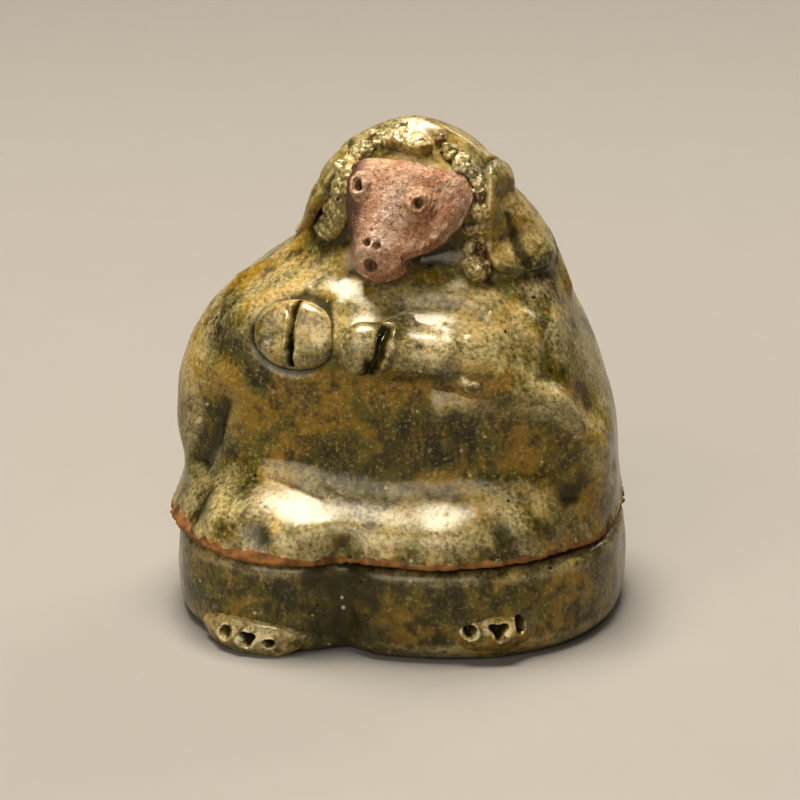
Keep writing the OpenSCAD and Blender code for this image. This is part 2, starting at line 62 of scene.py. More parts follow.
# A spot on the figure is an azimuth in degrees, with -90 at the front, and a share of the height from the
# seam to the middle of the head. Each station has that share, the middle of the section and its reach to
# the figure's left, right, front and back, as shares of half the width or half the depth.
SHARE, MIDDLE_X, MIDDLE_Y, LEFT, RIGHT, FRONT, BACK = range(7)
STATIONS = np.array([
    (0.00, 0.00, 0.00, 1.01, 1.03, 1.00, 1.00),
    (0.14, 0.00, 0.00, 0.98, 0.96, 0.85, 1.00),
    (0.31, 0.00, 0.00, 0.96, 0.98, 0.77, 0.98),
    (0.47, 0.00, 0.00, 0.89, 0.94, 0.77, 0.90),
    (0.63, 0.00, 0.00, 0.79, 0.80, 0.73, 0.77),
    (0.75, 0.02, -0.02, 0.69, 0.60, 0.57, 0.65),
    (0.86, 0.05, -0.08, 0.57, 0.43, 0.43, 0.53),
    (1.00, 0.10, -0.17, 0.37, 0.36, 0.44, 0.46),
])
BODY_SQUARENESS = 2.4
HEAD_SQUARENESS = 2.0
CHEST_SHARE = 0.6
CROWN_SQUARENESS = 1.7
# How far the wall of the dish bellies out, in millimetres, and how far the columns of a skin are drawn
# towards the front, in degrees
DISH_SWELL = 0.5
FRONT_CROWDING = 22

# Knees and the notch between them: azimuth, rise in millimetres, spread in degrees and the share of the
# height where they fade out
Knee = namedtuple("Knee", "azimuth rise spread fades")
KNEES = (Knee(-125, 2.6, 26, 0.26), Knee(-99, -2.6, 8, 0.12), Knee(-62, 0.6, 20, 0.26))

# Strokes of the modeller's fingers: the spots they pass, their rise and their spread in millimetres
Stroke = namedtuple("Stroke", "path rise spread")
MAIN_STROKES = (
    Stroke(((-145, 0.67), (-95, 0.65)), 1.5, 4.5),
    Stroke(((-95, 0.65), (-30, 0.63)), 1.5, 4.5),
    Stroke(((-65, 0.44), (-32, 0.44)), 1.4, 4.0),
    Stroke(((-32, 0.44), (-16, 0.29)), 1.4, 4.0),
    Stroke(((-16, 0.29), (-12, 0.16)), 1.2, 4.0),
    Stroke(((-165, 0.63), (-160, 0.29)), 1.2, 5.0),
    Stroke(((-147, 0.38), (-153, 0.20)), -1.6, 2.2),
    Stroke(((-135, 0.09), (-112, 0.10)), 0.8, 3.5),
    Stroke(((-70, 0.11), (-44, 0.12)), 0.8, 3.5),
    # The roll of the lap and the hollow between it and the belly
    Stroke(((-135, 0.12), (-98, 0.095), (-64, 0.10), (-40, 0.12)), 1.8, 3.5),
    Stroke(((-142, 0.22), (-120, 0.235), (-105, 0.205), (-80, 0.18), (-66, 0.19), (-45, 0.222)), -0.7, 3.4),
    # The shelf of the chest and the hollow behind the raised thigh
    Stroke(((-138, 0.715), (-108, 0.722), (-72, 0.75), (-35, 0.735)), 0.7, 2.0),
    Stroke(((-30, 0.49), (-21, 0.41), (-14, 0.32), (-10, 0.20)), -0.8, 2.0),
)
FINE_STROKES = (
    # The groove between the chest and the forearm
    Stroke(((-104, 0.695), (-72, 0.705), (-50, 0.68)), -0.5, 1.5),
    # Hollows under the chin and between the left cheek and the hair
    Stroke(((-112, 0.775), (-97, 0.755), (-80, 0.765)), -0.6, 2.4),
    Stroke(((-70, 0.81), (-50, 0.86), (-40, 0.90)), -0.6, 2.6),
    # The edge of the raised left thigh
    Stroke(((-66, 0.46), (-53, 0.489), (-37, 0.473), (-29, 0.406), (-22, 0.32), (-17, 0.185)), 0.4, 1.5),
    # A crack in the glaze along the top of the lap
    Stroke(((-125, 0.205), (-116, 0.19), (-107, 0.165)), -0.25, 0.4),
    # The crease beside the right arm, with a nub of clay in it
    Stroke(((-148, 0.39), (-151, 0.264), (-156, 0.19)), -0.4, 1.2),
    Stroke(((-154, 0.31),), 0.9, 0.9),
    # A fold down the left flank
    Stroke(((-29, 0.64), (-32, 0.50)), -0.5, 1.2),
)
HEAD_STROKES = (
    # The rim of the hood and the groove inside it
    Stroke((
        (-186, 1.06), (-172, 1.12), (-160, 1.165), (-90, 1.18), (-41, 1.168), (-14, 1.10), (4, 1.055),
    ), 0.7, 1.4),
    Stroke(((-147, 1.10), (-135, 1.14), (-110, 1.155), (-69, 1.15), (-49, 1.123), (-44, 1.098)), -0.7, 1.2),
    # The fold behind the left ear, the ridge over the right shoulder and the hollow under the left ear
    Stroke(((14, 0.86), (7, 0.785), (1, 0.694)), 0.8, 1.6),
    Stroke(((-158, 0.85), (-160, 0.797), (-163, 0.74), (-166, 0.70)), 0.7, 1.3),
    Stroke(((-40, 0.77), (-35, 0.72), (-26, 0.682)), -0.6, 1.5),
)
# Dimples along the lap that filled with glaze
DIMPLES = tuple(
    Stroke((spot,), -0.45, 1.9)
    for spot in ((-141, 0.095), (-119, 0.075), (-97, 0.075), (-50, 0.095), (-39.5, 0.107), (-28, 0.182)))
WOBBLE = 0.9
WOBBLE_SIZE = 7.0

# Outlines of the pressed-on clay in millimetres across and up, on a sheet laid on the figure
FACE_OUTLINE = (
    (-7.1, 6.4), (-7.4, 4.3), (-7.2, 1.4), (-6.4, -2.4), (-5.9, -5.5), (-4.1, -7.2),
    (-1.3, -7.7), (1.2, -6.3), (1.5, -4.6), (4.8, -3.0), (7.2, -0.8), (8.9, 2.4),
    (9.2, 4.6), (7.6, 6.8), (2.8, 8.2), (-3.3, 8.6), (-6.3, 7.8),
)
LEFT_EAR_OUTLINE = (
    (-4.6, 9.8), (-8.2, 8.0), (-9.6, 3.0), (-9.5, -4.7), (-9.2, -9.6), (-7.0, -10.2),
    (-3.6, -9.8), (0.0, -8.4), (2.6, -4.8), (3.8, 0.0), (3.8, 5.0), (0.5, 9.0),
)
RIGHT_EAR_OUTLINE = (
    (4.8, 8.8), (0.8, 9.4), (-1.8, 6.5), (-1.8, 2.0), (-0.2, -2.5), (2.2, -5.2),
    (4.3, -5.6), (6.0, -3.4), (6.2, 1.0), (5.4, 5.4),
)
LOCK_OUTLINE = (
    (3.5, 7.0), (1.8, 9.2), (0.2, 6.7), (-1.6, 2.2), (-0.4, -0.6),
    (2.0, -1.3), (4.2, -0.6), (5.0, 1.4), (4.6, 4.0),
)
BROW_OUTLINE = (
    (3.2, -0.3), (2.4, 1.5), (0.2, 2.0), (-2.2, 1.7), (-3.2, 0.0), (-2.4, -1.7), (0.0, -1.9), (2.2, -1.7),
)

# Where they are pressed on: spots on the figure, how far their sheets are rolled in degrees, and how far
# the plane of the face stands out, leans back and is turned
FACE_SPOT = (-90, 0.93)
FACE_STAND = 2.4
FACE_TILT = 14.0
FACE_TURN = -93.0
RIGHT_HAND_SPOT = (-121, 0.622)
RIGHT_HAND_BED = (11.2, 9.6)
ARM_PATH = ((-100.5, 0.61), (-81, 0.60), (-61, 0.57), (-42, 0.52), (-25, 0.46))
BROW_AT = (-0.1, 11.4)
BROW_ROLL = -18
LOCK_SPOT = (-152.3, 0.883)
LOCK_ROLL = -15
RIGHT_EAR_SPOT = (-184.1, 0.941)
RIGHT_EAR_ROLL = -15
LEFT_EAR_SPOT = (2.7, 0.915)
LEFT_EAR_ROLL = -8

# A pricked hole: its place on its sheet, its radius, how three-cornered it is and how tall
Prick = namedtuple("Prick", "across up radius corners tall", defaults=(0.0, 1.0))
RIGHT_EYE = (-5.0, 4.8)
LEFT_EYE = (3.0, 2.9)

# Feet pressed onto the dish: their reach from the middle, how thick they are, how far they are smeared into
# it, how much ash lies on them and the pricks between their toes
Foot = namedtuple("Foot", "name azimuth middle left right above below thick smeared ashen seed toes")
FEET = (
    Foot(
        name="right_foot", azimuth=-120, middle=2.6, left=9.6, right=6.4, above=2.1, below=3.6,
        thick=2.3, smeared=0.35, ashen=0.7, seed=65, toes=(
            Prick(-3.9, 0.3, 0.75, -0.10, 1.20),
            Prick(-0.8, 0.1, 0.90, -0.24),
            Prick(1.9, -0.2, 0.62, -0.10),
        )),
    Foot(
        name="left_foot", azimuth=-54, middle=4.0, left=9.0, right=9.0, above=3.6, below=3.7,
        thick=1.4, smeared=0.9, ashen=-0.2, seed=67, toes=(
            Prick(-3.6, 0.9, 0.80, -0.12, 1.10),
            Prick(0.2, 0.9, 1.00, -0.30),
            Prick(3.2, 1.3, 0.70, 0.0, 1.90),
        )),
)


def ease(low, high, value):
    """Goes smoothly from 0 at low to 1 at high."""
    t = np.clip((value - low) / (high - low), 0, 1)
    return t * t * (3 - 2 * t)


def bell(distance, spread):
    """Goes from 1 at no distance down to 0, and is about a third at the spread."""
    return np.exp(-(distance / spread) ** 2)


def turn_from(az, start):
    """Degrees from one azimuth to another, the short way round."""
    return (az - start + 540) % 360 - 180


def columns(count):
    """Azimuths all round the figure, from its back on and closer together at its front."""
    turn = np.arange(count) / count
    return 90 + 360 * turn + FRONT_CROWDING * np.sin(2 * math.pi * turn)


def lumps(points, size, seed):
    """Smooth noise from -1 to 1, with lumps of about that size in millimetres."""
    lattice = 32
    table = np.random.default_rng(seed).uniform(-1, 1, (lattice,) * 3)
    cell = np.floor(points / size).astype(int)
    part = ease(0, 1, points / size - cell)
    total = np.zeros(points.shape[:-1])
    for corner in itertools.product((0, 1), repeat=3):
        weight = np.prod(np.where(corner, part, 1 - part), axis=-1)
        index = (cell + corner) % lattice
        total += weight * table[index[..., 0], index[..., 1], index[..., 2]]
    return total


def uneven(points, *kinds):
    """Lumps of several kinds together. Each kind has its rise, its size and its seed."""
    return sum(rise * lumps(points, size, seed) for rise, size, seed in kinds)


def path_distance(spots, path):
    """Distance of spots from a path of straight runs, or from a single point."""
    if len(path) == 1:
        return np.linalg.norm(spots - path[0], axis=-1)
    nearest = np.full(spots.shape[:-1], np.inf)
    for start, end in zip(path[:-1], path[1:]):
        run = end - start
        t = np.clip(((spots - start) @ run) / (run @ run), 0, 1)
        nearest = np.minimum(nearest, np.linalg.norm(spots - start - t[..., None] * run, axis=-1))
    return nearest


def stroked(spots, strokes, place=np.array):
    """Rise of the clay at spots. Place puts a spot of a stroke's path among them."""
    rise = np.zeros(spots.shape[:-1])
    for stroke in strokes:
        path = [place(spot) for spot in stroke.path]
        rise = rise + stroke.rise * bell(path_distance(spots, path), stroke.spread)
    return rise


def groove(flat, start, end, width):
    """From 0 beside a straight groove to 1 along it."""
    return stroked(flat, [Stroke((start, end), 1.0, width)])


def round_outline(corners, count):
    """Points on a smooth closed curve through the corners."""
    corners = np.array(corners, float)
    place = np.arange(count) * len(corners) / count
    k = np.floor(place).astype(int)
    s = (place - k)[:, None]
    a, b, c, d = (corners[(k + step) % len(corners)] for step in (-1, 0, 1, 2))
    return (2 * b + (c - a) * s + (2 * a - 5 * b + 4 * c - d) * s**2 + (3 * b - a - 3 * c + d) * s**3) / 2


def oval(long, wide, count):
    angle = np.linspace(0, 2 * math.pi, count, endpoint=False)
    return np.stack([long / 2 * np.cos(angle), wide / 2 * np.sin(angle)], -1)


def beyond(spots, outline):
    """Distance of flat spots beyond a closed outline, negative inside it."""
    following = np.roll(outline, -1, axis=0)
    run = following - outline
    offset = spots[..., None, :] - outline
    t = np.clip((offset * run).sum(-1) / (run * run).sum(-1), 0, 1)
    away = np.linalg.norm(offset - t[..., None] * run, axis=-1).min(-1)
    level = spots[..., None, 1]
    crossed = (outline[:, 1] > level) != (following[:, 1] > level)
    rise = np.where(run[:, 1] == 0, 1, run[:, 1])
    crossing = outline[:, 0] + run[:, 0] * (level - outline[:, 1]) / rise
    inside = (crossed & (spots[..., None, 0] < crossing)).sum(-1) % 2 == 1
    return np.where(inside, -away, away)


class Figure:
    """The modelled form in millimetres. Its forms take azimuths in degrees and heights over the table."""

    def __init__(self, sizes):
        self.half_w = sizes.body_width / MM / 2
        self.half_d = sizes.body_depth / MM / 2
        self.seam = sizes.seam_height / MM
        self.crown_h = sizes.crown_height / MM
        self.head_mid = sizes.lid_height / MM - self.crown_h
        self.top = self.seam + self.head_mid + self.crown_h
        self.seat_w = sizes.seat_width / MM
        self.flange_t = sizes.flange_thickness / MM
        self.flange_h = sizes.flange_height / MM
        self.flange_gap = sizes.flange_clearance / MM
        self.wall = sizes.lid_wall / MM
        self.hollow_h = sizes.hollow_height / MM
        self.floor_t = sizes.floor_thickness / MM
        self.setback = sizes.dish_setback / MM
        self.askew = sizes.lid_askew / MM
        before = STATIONS[[0, *range(len(STATIONS) - 1)]]
        after = STATIONS[[*range(1, len(STATIONS)), -1]]
        self.slopes = (after - before) / (after - before)[:, [SHARE]]
        self.slopes[-1] = 0

    def share(self, z):
        return np.clip((z - self.seam) / self.head_mid, 0, 1)

    def height(self, share):
        return self.seam + share * self.head_mid

    def station(self, share, column):
        """A column of the stations at any share, on a smooth curve through them."""
        k = np.clip(np.searchsorted(STATIONS[:, SHARE], share, side="right") - 1, 0, len(STATIONS) - 2)
        run = STATIONS[k + 1, SHARE] - STATIONS[k, SHARE]
        t = (share - STATIONS[k, SHARE]) / run
        start, end = STATIONS[k, column], STATIONS[k + 1, column]
        leaves, arrives = self.slopes[k, column], self.slopes[k + 1, column]
        low = (2 * t**3 - 3 * t**2 + 1) * start + (t**3 - 2 * t**2 + t) * run * leaves
        high = (3 * t**2 - 2 * t**3) * end + (t**3 - t**2) * run * arrives
        return low + high

    def middle(self, z):
        share = self.share(z)
        x = self.half_w * self.station(share, MIDDLE_X)
        y = self.half_d * self.station(share, MIDDLE_Y)
        return np.stack([x, y], -1)

    def plan(self, az, share):
        x, y = np.cos(np.radians(az)), np.sin(np.radians(az))
        reach_x = self.half_w * np.where(x > 0, self.station(share, LEFT), self.station(share, RIGHT))
        reach_y = self.half_d * np.where(y > 0, self.station(share, BACK), self.station(share, FRONT))
        above = np.clip((share - CHEST_SHARE) / (1 - CHEST_SHARE), 0, 1)
        n = BODY_SQUARENESS + (HEAD_SQUARENESS - BODY_SQUARENESS) * above
        return (np.abs(x / reach_x) ** n + np.abs(y / reach_y) ** n) ** (-1 / n)

    def knees(self, az, share):
        rise = 0
        for knee in KNEES:
            fade = np.clip(1 - share / knee.fades, 0, 1)
            rise = rise + knee.rise * bell(turn_from(az, knee.azimuth), knee.spread) * fade
        return rise

    def unrolled(self, az, share):
        around = np.radians(turn_from(az, -90)) * self.half_d
        return np.stack(np.broadcast_arrays(around, share * self.head_mid), -1)

    def wobbled(self, az, share):
        """Spots on the unrolled form, shifted a little so that strokes waver as a finger does."""
        spots = self.unrolled(az, share)
        solid = np.concatenate([spots, np.zeros_like(spots[..., :1])], -1)
        return spots + WOBBLE * np.stack([lumps(solid, WOBBLE_SIZE, seed) for seed in (3, 4)], -1)

    def stroked(self, spots, strokes):
        """Rise of the clay at spots on the unrolled form."""
        return stroked(spots, strokes, lambda spot: self.unrolled(*spot))

    def lid_radius(self, az, z, fine=True):
        share = self.share(z)
        rise = np.clip((z - self.height(1)) / self.crown_h, 0, 1)
        crown = (1 - rise**CROWN_SQUARENESS) ** (1 / CROWN_SQUARENESS)
        reach = self.plan(az, share) + self.knees(az, share)
        reach = reach + self.stroked(self.unrolled(az, share), MAIN_STROKES)
        if fine:
            reach = reach + self.stroked(self.wobbled(az, share), FINE_STROKES)
        return reach * crown

    def around(self, middle, az, radius, z):
        x = middle[..., 0] + radius * np.cos(np.radians(az))
        y = middle[..., 1] + radius * np.sin(np.radians(az))
        return np.stack(np.broadcast_arrays(x, y, z), -1)

    def lid(self, az, z):
        return self.around(self.middle(z), az, self.lid_radius(az, z), z)

    def lid_spot(self, az, share):
        return self.lid(np.array(az), self.height(np.array(share)))

    def seam_radius(self, az):
        return self.plan(az, np.zeros_like(az)) + self.knees(az, np.zeros_like(az))

    def dish_radius(self, az):
        return self.seam_radius(az) - self.setback + self.askew * np.cos(np.radians(az))

    def dish_swell(self, z):
        return DISH_SWELL * np.sin(math.pi * np.clip(z / self.seam, 0, 1))

    def dish(self, az, z):
        return self.around(AXIS, az, self.dish_radius(az) + self.dish_swell(z), z)


# Steps over which the normals of a form are worked out, in degrees and in millimetres
STEP_ROUND = 0.5
STEP_UP = 0.2


def outward(form, az, z):
    """Unit normals of a form, which point away from the figure."""
    across = form(az + STEP_ROUND, z) - form(az - STEP_ROUND, z)
    up = form(az, z + STEP_UP) - form(az, z - STEP_UP)
    normal = np.cross(across, up)
    return normal / np.linalg.norm(normal, axis=-1, keepdims=True)


class Sheet:
    """A flat sheet laid on a form about one spot, in millimetres across and up."""

    def __init__(self, figure, form, az, z, roll=0.0):
        self.form, self.az, self.z = form, float(az), float(z)
        here = form(np.array(self.az), np.array(self.z))
        normal = outward(form, np.array(self.az), np.array(self.z))
        middle = figure.middle(np.array(self.z)) if form == figure.lid else AXIS
        self.radius = np.linalg.norm(here[:2] - middle)
        self.rise = np.linalg.norm(normal[:2])
        self.cos, self.sin = math.cos(math.radians(roll)), math.sin(math.radians(roll))

    def spot(self, flat):
        across = flat[..., 0] * self.cos - flat[..., 1] * self.sin
        up = flat[..., 0] * self.sin + flat[..., 1] * self.cos
        return self.az + np.degrees(across / self.radius), self.z + up * self.rise

    def flat(self, az, z):
        across = np.radians(turn_from(az, self.az)) * self.radius
        up = (z - self.z) / self.rise
        return np.stack([across * self.cos + up * self.sin, up * self.cos - across * self.sin], -1)

    def laid(self, flat):
        """Points of the form under the sheet, and their normals."""
        az, z = self.spot(flat)
        return self.form(az, z), outward(self.form, az, z)


class Plane:
    """A flat sheet that stands in front of the lid, in millimetres across and up."""

    def __init__(self, origin, az, tilt):
        az, tilt = math.radians(az), math.radians(tilt)
        self.origin = origin
        self.across = np.array((-math.sin(az), math.cos(az), 0.0))
        self.out = np.array((math.cos(az) * math.cos(tilt), math.sin(az) * math.cos(tilt), math.sin(tilt)))
        self.up = np.cross(self.out, self.across)

    def flat(self, points):
        return np.stack([(points - self.origin) @ self.across, (points - self.origin) @ self.up], -1)

    def laid(self, flat):
        points = self.origin + flat[..., :1] * self.across + flat[..., 1:] * self.up
        return points, np.broadcast_to(self.out, points.shape)


def face_plane(figure):
    here = figure.lid_spot(*FACE_SPOT)
    plane = Plane(here, FACE_TURN, FACE_TILT)
    plane.origin = here + FACE_STAND * plane.out
    return plane


def lid_sheet(figure, spot, roll=0.0):
    return Sheet(figure, figure.lid, spot[0], figure.height(spot[1]), roll)


def pressed_places(figure):
    """The sheet and the outline of the pieces of glazed clay that are pressed onto the lid."""
    brow_az, brow_z = lid_sheet(figure, FACE_SPOT).spot(np.array(BROW_AT))
    return {
        "right_hand": (lid_sheet(figure, RIGHT_HAND_SPOT), oval(*RIGHT_HAND_BED, 120)),
        "brow": (Sheet(figure, figure.lid, brow_az, brow_z, BROW_ROLL), round_outline(BROW_OUTLINE, 96)),
        "lock": (lid_sheet(figure, LOCK_SPOT, LOCK_ROLL), round_outline(LOCK_OUTLINE, 96)),
        "right_ear": (
            lid_sheet(figure, RIGHT_EAR_SPOT, RIGHT_EAR_ROLL), round_outline(RIGHT_EAR_OUTLINE, 120)),
        "left_ear": (
            lid_sheet(figure, LEFT_EAR_SPOT, LEFT_EAR_ROLL), round_outline(LEFT_EAR_OUTLINE, 120)),
    }


def relief(rings, passes):
    """Outward normals of a skin, and how far it stands out from its smoothed form, in millimetres."""
    smooth = rings
    for _ in range(passes):
        above = np.concatenate([smooth[:1], smooth[:-1]])
        below = np.concatenate([smooth[1:], smooth[-1:]])
        smooth = (np.roll(smooth, 1, 1) + np.roll(smooth, -1, 1) + above + below) / 4
    across = np.roll(rings, -1, 1) - np.roll(rings, 1, 1)
    down = np.gradient(rings, axis=0)
    normal = np.cross(down, across)
    normal /= np.linalg.norm(normal, axis=-1, keepdims=True) + 1e-9
    normal *= np.sign((normal * (rings - rings.mean((0, 1)))).sum())
    return normal, ((rings - smooth) * normal).sum(-1)


def skin(rings, loop):
    """Vertices and faces over rings of equal length, with a fan at both ends or joined into a loop."""
    count, n = rings.shape[:2]
    index = np.arange(count * n).reshape(count, n)
    upper, lower = (index, np.roll(index, -1, 0)) if loop else (index[:-1], index[1:])
    quads = np.stack([upper, np.roll(upper, -1, 1), np.roll(lower, -1, 1), lower], -1).reshape(-1, 4)
    vertices, faces = rings.reshape(-1, 3), quads.tolist()
    if loop:
        return vertices, faces
    for ring, hub in ((index[0], count * n), (index[-1][::-1], count * n + 1)):
        faces += [(hub, int(b), int(a)) for a, b in zip(ring, np.roll(ring, -1))]
    return np.concatenate([vertices, rings[[0, -1]].mean(1)]), faces


def put(name, data):
    """A new object in the scene."""
    item = bpy.data.objects.new(name, data)
    bpy.context.scene.collection.objects.link(item)
    return item


def write_mark(mesh, mark, values):
    column = np.asarray(values, np.float32)
    mesh.attributes.new(mark, "FLOAT", "POINT").data.foreach_set("value", column)


def make_piece(name, rings, material, marks, loop=False):
    """A smooth closed mesh over rings in millimetres. Its material reads the marks, from 0 to 1."""
    vertices, faces = skin(np.asarray(rings), loop)
    mesh = bpy.data.meshes.new(name)
    mesh.from_pydata((vertices * MM).tolist(), [], faces)
    for mark, values in marks.items():
        ends = [] if loop else [values[0].mean(), values[-1].mean()]
        write_mark(mesh, mark, np.concatenate([np.clip(values, 0, 1).ravel(), ends]))
    shell = bmesh.new()
    shell.from_mesh(mesh)
    bmesh.ops.recalc_face_normals(shell, faces=shell.faces)
    shell.to_mesh(mesh)
    shell.free()
    mesh.shade_smooth()
    mesh.materials.append(material)
    return put(name, mesh)


def stand_for(piece, node, body):
    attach(piece, body)
    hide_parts(node)


# A pad has rings from near the middle of its front out to its edge, and from there in over its back
FRONT_RINGS = 44
FRONT_START = 0.02
BACK_SHARES = np.linspace(0.97, 0.06, 9)


def pad_front(outline):
    """Flat points of a pad's front, from its middle out to its edge, and their share of the way out."""
    middle = outline.mean(0)
    shares = np.sin(np.linspace(FRONT_START, 1, FRONT_RINGS) * math.pi / 2)[:, None]
    return middle + shares[..., None] * (outline - middle), shares


def pad_rings(sheet, outline, front, back, grain, seed, wall=0):
    """Rings of a closed pad, from the middle of its front out to its edge and in again over its back.

    Front gives the height over the sheet at each flat point and share of the way out. Back gives it
    at each flat point, and wall is the number of rings between the two."""
    flat, shares = pad_front(outline)
    under, normal = sheet.laid(flat)
    high = front(flat, shares) + grain * uneven(under, (1.0, 2.4, seed), (0.5, 1.0, seed + 1))
    rings = [under + high[..., None] * normal]
    for t in np.arange(1, wall + 1) / (wall + 1):
        level = high[-1] + (back(outline) - high[-1]) * t
        rings.append((under[-1] + level[:, None] * normal[-1])[None])
    middle = outline.mean(0)
    flat = middle + BACK_SHARES[:, None, None] * (outline - middle)
    under, normal = sheet.laid(flat)
    return np.concatenate([*rings, under + back(flat)[..., None] * normal])


def sunk(depth):
    """A flat back that lies that deep under the sheet."""
    return lambda flat: np.full(flat.shape[:-1], -depth)


def rounded(share, squareness):
    """Height of a rounded pad, from 1 in its middle to 0 at its edge."""
    return np.clip(1 - share**squareness, 0, 1) ** (1 / squareness)


def pit(flat, prick):
    """From 0 outside a pricked hole to 1 over its floor."""
    floor, edge = 0.55 * prick.radius, 1.1 * prick.radius
    offset = (flat - np.array(prick[:2])) / (1, prick.tall)
    angle = np.arctan2(offset[..., 1], offset[..., 0])
    away = np.linalg.norm(offset, axis=-1) * (1 + prick.corners * np.sin(3 * angle))
    return 1 - ease(floor, edge, away)


# Depth of a hollow that fills with glaze and height of a ridge that sheds it, in millimetres, the tilt on
# which kiln ash starts to settle and settles in full, how much it thins the glaze, and how thin that gets.
# The paler glaze on upward faces is partly that ash and partly a painted sheen of the light from above
FULL_POOL = 0.7
FULL_BREAK = 0.6
ASH_AND_SHEEN_TILT = (0.02, 0.60)
ASH_AND_SHEEN_THINS = 0.65
MOST_THIN = 0.8


def clay_marks(rings, passes, pooled=0.0, ashen=0.0, level=False):
    """Where the glaze lies thick and where it breaks: in hollows, on ridges and where kiln ash settled. On
    upward faces the paler glaze is also a painted sheen.
    """
    normal, stands = relief(rings, passes)
    if level:
        stands = stands - np.median(stands)
    # Paler glaze on upward faces: partly settled ash, partly a painted sheen of the light from above
    ash = ease(*ASH_AND_SHEEN_TILT, normal[..., 2])
    return {
        "pool": np.clip(-stands / FULL_POOL, 0, 1) + pooled,
        "thin": np.minimum(np.clip(stands / FULL_BREAK, 0, 1) + ASH_AND_SHEEN_THINS * ash + ashen, MOST_THIN),
        "bare": np.zeros(rings.shape[:2]),
    }


def linear(code):
    """A colour in linear light from an sRGB hex value."""
    parts = [int(code[k:k + 2], 16) / 255 for k in (1, 3, 5)]
    return [part / 12.92 if part <= 0.04045 else ((part + 0.055) / 1.055) ** 2.4 for part in parts]


def add(tree, kind, inputs=None, **settings):
    """Adds a node. Inputs go by name or number, and are values or the outputs of other nodes."""
    node = tree.nodes.new(kind)
    for name, value in settings.items():
        setattr(node, name, value)
    for name, value in (inputs or {}).items():
        if isinstance(value, bpy.types.NodeSocket):
            tree.links.new(value, node.inputs[name])
        else:
            node.inputs[name].default_value = value
    return node


def new_material(name):
    material = bpy.data.materials.get(name) or bpy.data.materials.new(name)
    material.use_nodes = True
    material.node_tree.nodes.clear()
    return material, material.node_tree


def per_mm(size):
    """The scale of a texture whose features are about that size in millimetres."""
    return 1 / (size * MM)


# Glaze runs are drawn out downwards
RUN_STRETCH = 0.16
# Sockets of the Mix node for colours
FACTOR, COLOUR_A, COLOUR_B, COLOUR_OUT = 0, 6, 7, 2


def layered(tree, base, layers):
    """Lays colours over a base. Each layer has a name, a colour, its strength and masks, which are a value
    and the levels where it starts to show and shows in full. Gives the colour, and each layer's amount."""
    below, amounts = (*base, 1), {}
    for name, over, amount, *masks in layers:
        for value, start, full in masks:
            amount = add(tree, "ShaderNodeMapRange", {
                "Value": value, "From Min": start, "From Max": full, "To Min": 0.0, "To Max": amount,
            }, interpolation_type="SMOOTHSTEP").outputs["Result"]
        below = add(tree, "ShaderNodeMix", {
            FACTOR: amount, COLOUR_A: below, COLOUR_B: (*over, 1),
        }, data_type="RGBA").outputs[COLOUR_OUT]
        amounts[name] = amount
    return below, amounts


